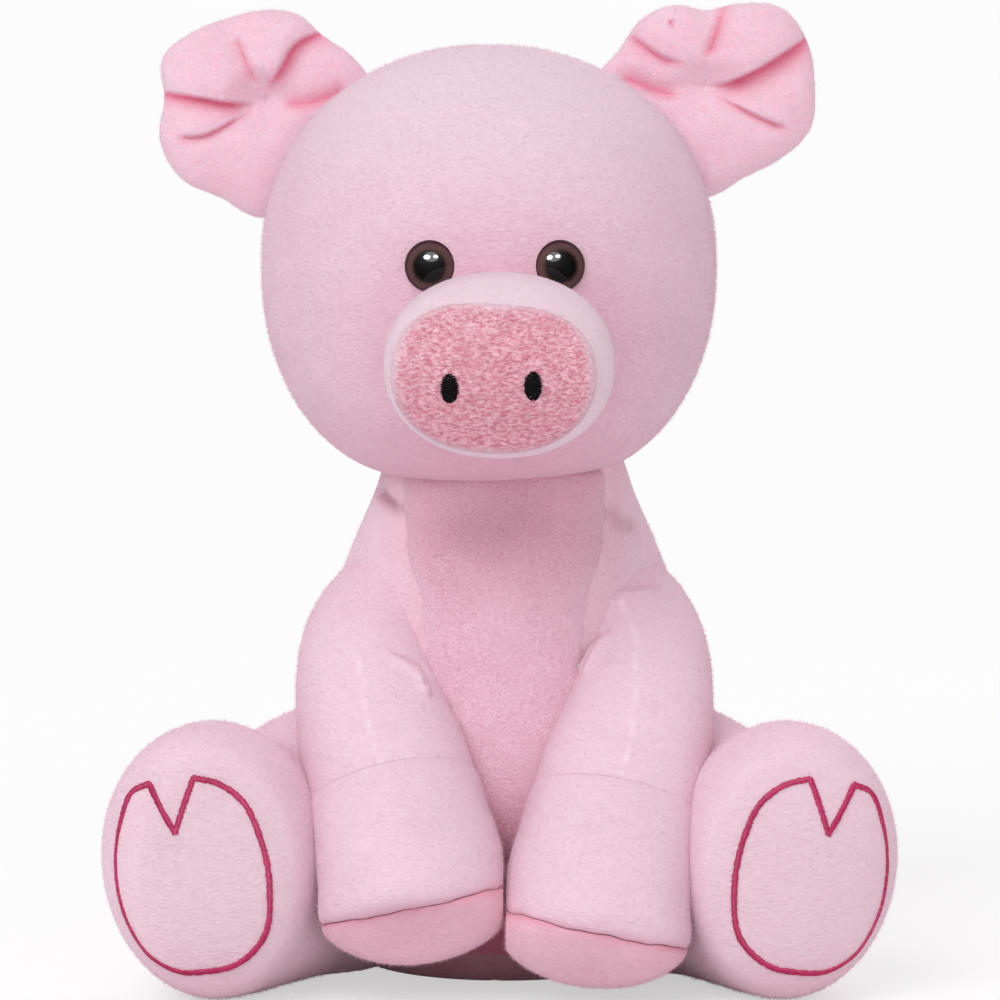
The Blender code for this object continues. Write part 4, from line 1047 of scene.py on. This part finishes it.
def make_arm(side, sign):
    places = arm_places(side, sign)
    rows = arm_form(places, sign)

    def at(share):
        low = int(share * (len(places) - 1))
        along = places[low + 1] - places[low]
        return places[low] + along * (share * (len(places) - 1) - low), unit(along)

    sole = at(SOLE_SHARE)[0] + UP * SOLE_RISE
    out = turn_about(FRONT, -sign * SOLE_SLANT, turn_about(ACROSS, SOLE_PITCH, -UP))
    angle = angles(ARM_MESH[0])
    wavy = 0.30 * np.sin(7 * angle + sign) + 0.15 * np.sin(17 * angle)
    at_wrist, at_sole = crossing(rows, *at(WRIST_SHARE)), crossing(rows, sole, out) + wavy
    sleeve = part(rows, np.zeros(len(angle)), at_wrist + 3, 100)
    hoof = part(rows, at_wrist, at_sole, 60)
    cap = part(rows, at_sole, np.full(len(angle), len(rows) - 1.0), 36)
    swell = 0.0013 * np.sin(math.pi * np.linspace(0, 1, len(hoof))) ** 0.5 + 0.0004
    sleeve = turned_in(gathered(sleeve, side), False, True, 0.0003, 0.0012)
    hoof = turned_in(hoof + row_normals(hoof) * swell[:, None, None], True, True, 0.0004)
    cap = turned_in(cap + row_normals(cap) * 0.0009, True, False, 0.0006)
    for piece in (sleeve, hoof, cap):
        above_floor(piece)
        piece[..., 0] = sign * np.maximum(sign * piece[..., 0], MIDDLE_GAP)
    obj = skin_object("sleeve_" + side, sleeve, BODY_CLOTH)
    mark_sleeve(obj, side)
    stuffed(obj, "arm_" + side, "body_plush", "torso", "arm_" + side,
            places[0] + UP * 0.004, places[1])
    for node, piece, cloth, slot in (("front_hoof_", hoof, HOOF_CLOTH, "pale_plush"),
                                     ("front_sole_", cap, SOLE_CLOTH, "sole_plush")):
        obj = skin_object(node + "skin_" + side, piece, cloth)
        # Painted shade: deeper pink along the sole's seam and on the sides.
        away = (points_of(obj) - sole) @ out
        near_seam = 0.55 * bell(away, 0.0014) + 0.16 * bell(away, 0.006)
        mark(obj, deep=near_seam + 0.12 * side_on(obj))
        stuffed(obj, node + side, slot, "arm_" + side)


def leg_places(side, sign):
    hip = np.array((sign * 0.66 * HIP_HALF_WIDTH, -0.10 * HIP_HALF_DEPTH, 0))
    foot = np.array((sign * FOOT_OUTS[side], -FOOT_FRONT, 0))
    places = [hip + np.array((out, forward, 0)) * (foot - hip)
              + UP * min(height, 1) * FOOT_HALF_HEIGHT for out, forward, _, height in LEG_RINGS]
    places[-1][2] = places[-2][2] = FOOT_HALF_HEIGHT
    return places


def make_leg(side, sign):
    columns, step_length = LEG_MESH
    places = leg_places(side, sign)
    rings = []
    for step, place in enumerate(places):
        along = unit(way_along(places, step) * (1, 1, 0))
        lean = sign * FOOT_LEAN * step / (len(places) - 1)
        across, rise = (turn_about(-along, lean, way) for way in (np.cross(UP, along), UP))
        _, _, width, height = LEG_RINGS[step]
        rings.append(ring(place, across * width * FOOT_HALF_WIDTH, rise * height * FOOT_HALF_HEIGHT,
                          columns))
    ends = beyond(places[::-1], 0.2), beyond(places, 0.35)
    rows = above_floor(between_poles(ends[0], rings, ends[1], step_length))
    obj = skin_object("leg_skin_" + side, rows, BODY_CLOTH)
    # Painted shade: the foot's front face darker, and deeper pink near the floor.
    mark(obj, shade=LEG_SHADES[side] * smooth_step(0.75, 0.98, -normals_along(obj, 1)),
         deep=0.16 * smooth_step(0.022, 0.002, points_of(obj)[:, 2]))
    stuffed(obj, "leg_" + side, "body_plush", "torso", "leg_" + side, places[1], places[2])


for side, sign in SIDES.items():
    make_arm(side, sign)
    make_leg(side, sign)

# %% [markdown]
# The hoof print is a cord of satin stitch, laid on the sole. The stitches lie across its line and
# are a little uneven, as an embroidery machine leaves them in soft cloth.
# %% Hoof prints
PRINT_PEAK, PRINT_NOTCH = (0.31, 0.970), (0.0, 0.45)
PRINT_INNER = ((0.62, 0.875), (0.90, 0.665), (1.06, 0.28), (1.07, -0.25), (0.86, -0.74),
               (0.40, -0.98), (0.0, -1.0))
PRINT_OUTER = ((0.56, 0.92), (0.81, 0.60), (0.97, 0.15), (0.96, -0.35), (0.72, -0.78),
               (0.35, -0.97))
STITCH_PITCH = 0.00040
STITCH_HALF, STITCH_NARROWER, STITCH_UNEVEN = 0.00092, 0.00050, 0.00016


def print_path(sign):
    """Evenly spaced points of the print and its directions, with its three sharp corners kept."""
    inner = [(-sign * x, z) for x, z in (PRINT_PEAK, *PRINT_INNER)]
    outer = [(sign * x, z) for x, z in (PRINT_PEAK, *PRINT_OUTER)]
    scale = np.array((PRINT_HALF_WIDTH, PRINT_HALF_HEIGHT))
    knots, notch = np.array(inner + outer[::-1]) * scale, np.array(PRINT_NOTCH) * scale
    places, directions = [], []
    for run in (smooth_line(knots, STITCH_PITCH), np.array([knots[-1], notch]),
                np.array([notch, knots[0]])):
        steps = np.linalg.norm(np.diff(run, axis=0), axis=1)
        length = np.concatenate([[0], np.cumsum(steps)])
        wanted = np.linspace(0, length[-1], max(2, round(length[-1] / STITCH_PITCH)))
        points = np.stack([np.interp(wanted, length, run[:, k]) for k in (0, 1)], 1)
        slope = np.gradient(points, axis=0)
        places.append(points)
        directions.append(slope / np.linalg.norm(slope, axis=1, keepdims=True))
    return np.concatenate(places), np.concatenate(directions)


def make_print(side, sign):
    places = leg_places(side, sign)
    look = unit(places[-1] - places[-2])
    level, rise = (turn_about(-look, sign * FOOT_LEAN, way) for way in (np.cross(UP, look), UP))
    middle = places[-1] + level * sign * PRINT_OUTS[side] - rise * 0.001
    leg = bpy.data.objects["leg_skin_" + side]
    flat, along = print_path(sign)
    uneven = np.random.default_rng(7).uniform(-1, 1, (len(flat), 2))
    spots, turns, sizes = [], [], []
    for (x, z), (dx, dz), (longer, slanted) in zip(flat, along, uneven):
        start = middle + level * x + rise * z + look * 0.02
        _, place, normal, _ = leg.ray_cast(Vector(start), Vector(-look))
        path, normal = level * dx + rise * dz, np.array(normal)
        across = unit(unit(np.cross(path, normal)) + 0.22 * slanted * path)
        at_outer_side = smooth_step(0.05, 0.85, sign * x / PRINT_HALF_WIDTH)
        narrower = at_outer_side * smooth_step(0.85, 0.35, z / PRINT_HALF_HEIGHT)
        axes = Matrix((across, np.cross(normal, across), normal)).transposed()
        spots.append(np.array(place) + normal * 0.0002 + across * 0.00008 * slanted)
        turns.append(tuple(axes.to_euler()))
        half = STITCH_HALF - STITCH_NARROWER * narrower + STITCH_UNEVEN * longer
        sizes.append((half, 0.00034, 0.0006))
    stitched("hoof_print_", side, "print_thread", "leg_" + side, THREAD, spots, turns, sizes)


for side, sign in SIDES.items():
    make_print(side, sign)

# %% [markdown]
# The tail is a stuffed tube, curled a little more than once round.
# %% Tail
def make_tail():
    columns, step_length = TAIL_MESH
    places, sizes = [TAIL_ROOT - np.array((0, 0.003, 0))], [TAIL_RADIUS * 0.8]
    for step in range(TAIL_STEPS + 1):
        turn = TAIL_TURNS * step / TAIL_STEPS
        places.append(TAIL_ROOT + np.array((
            -TAIL_CURL * math.sin(math.tau * turn), TAIL_GAP + TAIL_PITCH * turn,
            TAIL_CURL * (1 - math.cos(math.tau * turn)))))
        end = min(1, (step + 4) / 8, (TAIL_STEPS - step + 1) / 5)
        sizes.append(TAIL_RADIUS * math.sin(math.pi / 2 * end))
    rings = path_rings(places, sizes, sizes, np.array((0.3, 0.2, 1.0)), columns)
    rows = between_poles(places[0] + FRONT * 0.001, rings, beyond(places, 0.8), step_length)
    obj = skin_object("tail_skin", rows, BODY_CLOTH)
    away = np.linalg.norm(points_of(obj) - TAIL_ROOT, axis=1)
    mark(obj, shorn=0.4 + (SHORN - 0.4) * smooth_step(0.024, 0.012, away))
    stuffed(obj, "tail", "body_plush", "tail")


make_tail()

# %% [markdown]
# The eyes are glossy domes on ridged stems. Their washers, the seat panel and the pellet bag keep
# the form of the frame and get finished materials.
# %% Eyes and inner parts
IRIS = (  # share of the radius, colour
    (0.0, (7, 5, 6)), (0.54, (12, 8, 9)), (0.62, (58, 38, 30)), (0.70, (88, 64, 62)),
    (0.85, (96, 68, 70)), (0.91, (58, 20, 34)), (1.0, (34, 8, 20)),
)


def eye_material():
    material, tree, shader = new_material("eye_plastic")
    tint = add(tree, "ShaderNodeValToRGB", {"Fac": attribute(tree, "from_middle")}, "Color")
    stops = tint.node.color_ramp.elements
    for step, (place, rgb) in enumerate(IRIS):
        stop = stops[step] if step < 2 else stops.new(place)
        stop.position, stop.color = place, colour(rgb)
    join(tree, shader, {"Base Color": tint, "Roughness": 0.5, "Specular IOR Level": 0.04,
                        "Coat Weight": 0.45, "Coat Roughness": 0.04})
    return material


def make_eye(side, sign):
    """A dome on a ridged stem. The dome looks more forward than the cloth that it sits on."""
    out = sign * EYE_SPREAD - EYE_SHIFT - HEAD_AXIS[0]
    look = np.array((out, -math.sqrt(HEAD_RADIUS ** 2 - out ** 2), 0)) / HEAD_RADIUS
    back = HEAD_AXIS + look * (HEAD_RADIUS - 0.0012) + UP * EYE_HEIGHT
    ahead = turn_about(UP, -sign * EYE_TOE_IN, look)
    turns = [math.pi / 2 * step / EYE_STEPS for step in range(1, EYE_STEPS + 1)]
    stem = [(0.0006, EYE_RADIUS), (0.0012, EYE_RADIUS * 0.9), (0.0013, STEM_RADIUS)]
    for ridge in range(STEM_RIDGES):
        start = STEM_FIRST + ridge * STEM_PITCH
        stem += [(start, STEM_RADIUS), (start + 0.0002, STEM_GROOVE)]
    profile = [(ahead, EYE_DOME * math.cos(turn), EYE_RADIUS * math.sin(turn)) for turn in turns]
    profile += [(look, -depth, radius) for depth, radius in stem]
    rows = [ring(back + way * rise, np.cross(way, UP) * radius, UP * radius, EYE_COLUMNS)
            for way, rise, radius in profile]
    top, tip = (pole(place, EYE_COLUMNS)
                for place in (back + ahead * EYE_DOME, back - look * STEM_LENGTH))
    rows = [top, *rows, tip]
    obj = skin_object("eye_dome_" + side, rows, EYE)
    shares = [0, *map(math.sin, turns)] + [1] * (len(stem) + 1)
    mark(obj, from_middle=np.repeat(shares, [1, *[EYE_COLUMNS] * (len(rows) - 2), 1]))
    dress(obj, "eye_" + side, "eye_plastic", "head")


EYE = eye_material()
LINING = pile_material("bag_lining", (212, 207, 202), (190, 185, 180), sheen=0.1, **PLAIN)
WASHER = pile_material("washer_plastic", (228, 228, 225), (215, 215, 212), sheen=0, **PLAIN)
for side, sign in SIDES.items():
    make_eye(side, sign)
for node, material in (("eye_washer_left", WASHER), ("eye_washer_right", WASHER),
                       ("pellet_bag", LINING), ("seat_panel", SOLE_CLOTH)):
    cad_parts[node].data.materials[0] = material

# %% [markdown]
# A pale floor and soft studio light. The camera stands at the photograph's angle, and rays that
# reach it straight from the floor or the room see paper white.
# %% Stage, lights and camera
WHITE, PAPER_WHITE = (1, 1, 1, 1), 0.975
FLOOR_HALF_SIZE, FLOOR_COLOUR, FLOOR_GLOW = 30, (0.92, 0.95, 0.945, 1), 0.116
ROOM_COLOUR, ROOM_STRENGTH, MIRRORED_STRENGTH = (1.0, 0.905, 0.935, 1), 0.56, 0.05
SUNS = (  # name, where it stands as seen from the pig, strength, spread, tint
    ("key", (-0.42, -0.75, 0.70), 1.29, math.radians(40), (0.94, 1.0, 0.985)),
    ("fill", (0.34, -0.93, 0.12), 0.44, math.radians(50), (1, 1, 1)),
    ("back", (0.1, 0.8, 0.7), 0.62, math.radians(60), (1, 1, 1)),
)
SPARKLES = (  # name, place, size and power of small lamps that the eyes mirror as bright spots
    ("spark_left", (-0.42, -1.2, 0.80), 0.46, 34), ("spark_right", (0.16, -1.2, 0.84), 0.34, 14),
    ("soft_window", (-0.13, -1.25, 0.86), 1.1, 17),
)
CAMERA_FAR, CAMERA_RISE, CAMERA_TARGET = 1.6, math.radians(5), 0.15
CAMERA_LENS, CAMERA_SHIFT = 185.8, (-0.0045, -0.02)


def mixed(tree, share, first, second):
    return add(tree, "ShaderNodeMixShader", {"Fac": share, 1: first, 2: second})


def make_floor():
    corners = [(x * FLOOR_HALF_SIZE, y * FLOOR_HALF_SIZE, 0)
               for x, y in ((-1, -1), (1, -1), (1, 1), (-1, 1))]
    obj = in_scene("floor", new_mesh("floor", corners, [(0, 1, 2, 3)]))
    material, tree, shader = new_material("floor_paper")
    to_camera = add(tree, "ShaderNodeLightPath", output="Is Camera Ray")
    glow = maths(tree, "MULTIPLY", to_camera, FLOOR_GLOW)
    join(tree, shader, {"Base Color": FLOOR_COLOUR, "Roughness": 1, "Specular IOR Level": 0,
                        "Emission Color": WHITE, "Emission Strength": glow})
    place = add(tree, "ShaderNodeTexCoord", output="Object")
    far = add(tree, "ShaderNodeVectorMath", {0: place}, "Value", operation="LENGTH")
    fade = add(tree, "ShaderNodeMapRange", {
        "Value": far, "From Min": 0.3, "From Max": 0.9, "To Min": 0.5})
    paper = add(tree, "ShaderNodeEmission", {"Strength": PAPER_WHITE})
    surface = mixed(tree, maths(tree, "MULTIPLY", fade, to_camera), shader.outputs["BSDF"], paper)
    join(tree, tree.nodes["Material Output"], {"Surface": surface})
    obj.data.materials.append(material)
    obj.visible_glossy = False


def lamp(name, kind, place, target, **settings):
    """A lamp that stands at a place and shines at a target."""
    light = bpy.data.lights.new(name, kind)
    for label, value in settings.items():
        setattr(light, label, value)
    obj = in_scene(name, light)
    obj.location = place
    obj.rotation_euler = (Vector(target) - Vector(place)).to_track_quat("-Z", "Y").to_euler()
    return obj


def make_camera():
    data = bpy.data.cameras.new("camera")
    data.lens, data.sensor_width = CAMERA_LENS, 36
    data.shift_x, data.shift_y = CAMERA_SHIFT
    camera = in_scene("camera", data)
    camera.location = (0, -CAMERA_FAR * math.cos(CAMERA_RISE),
                       CAMERA_TARGET + CAMERA_FAR * math.sin(CAMERA_RISE))
    camera.rotation_euler = (math.pi / 2 - CAMERA_RISE, 0, 0)
    bpy.context.scene.camera = camera


def make_world():
    world = bpy.data.worlds.new("studio")
    world.use_nodes = True
    tree = world.node_tree
    room = tree.nodes["Background"]
    join(tree, room, {"Color": ROOM_COLOUR, "Strength": ROOM_STRENGTH})
    dark, paper = (add(tree, "ShaderNodeBackground", {"Color": WHITE, "Strength": strength})
                   for strength in (MIRRORED_STRENGTH, PAPER_WHITE))
    rays = tree.nodes.new("ShaderNodeLightPath").outputs
    mirrored = mixed(tree, rays["Is Glossy Ray"], room.outputs["Background"], dark)
    surface = mixed(tree, rays["Is Camera Ray"], mirrored, paper)
    join(tree, tree.nodes["World Output"], {"Surface": surface})
    bpy.context.scene.world = world


make_floor()
for name, place, strength, spread, tint in SUNS:
    sun = lamp(name, "SUN", place, (0, 0, 0), energy=strength, angle=spread, color=tint)
    sun.visible_glossy = False
for name, place, size, power in SPARKLES:
    spark = lamp(name, "AREA", place, (0, 0, 0.2), energy=power, shape="ELLIPSE", size=size,
                 size_y=size * 0.7)
    spark.visible_diffuse = False
make_camera()
make_world()
bpy.context.scene.view_settings.view_transform = "Standard"
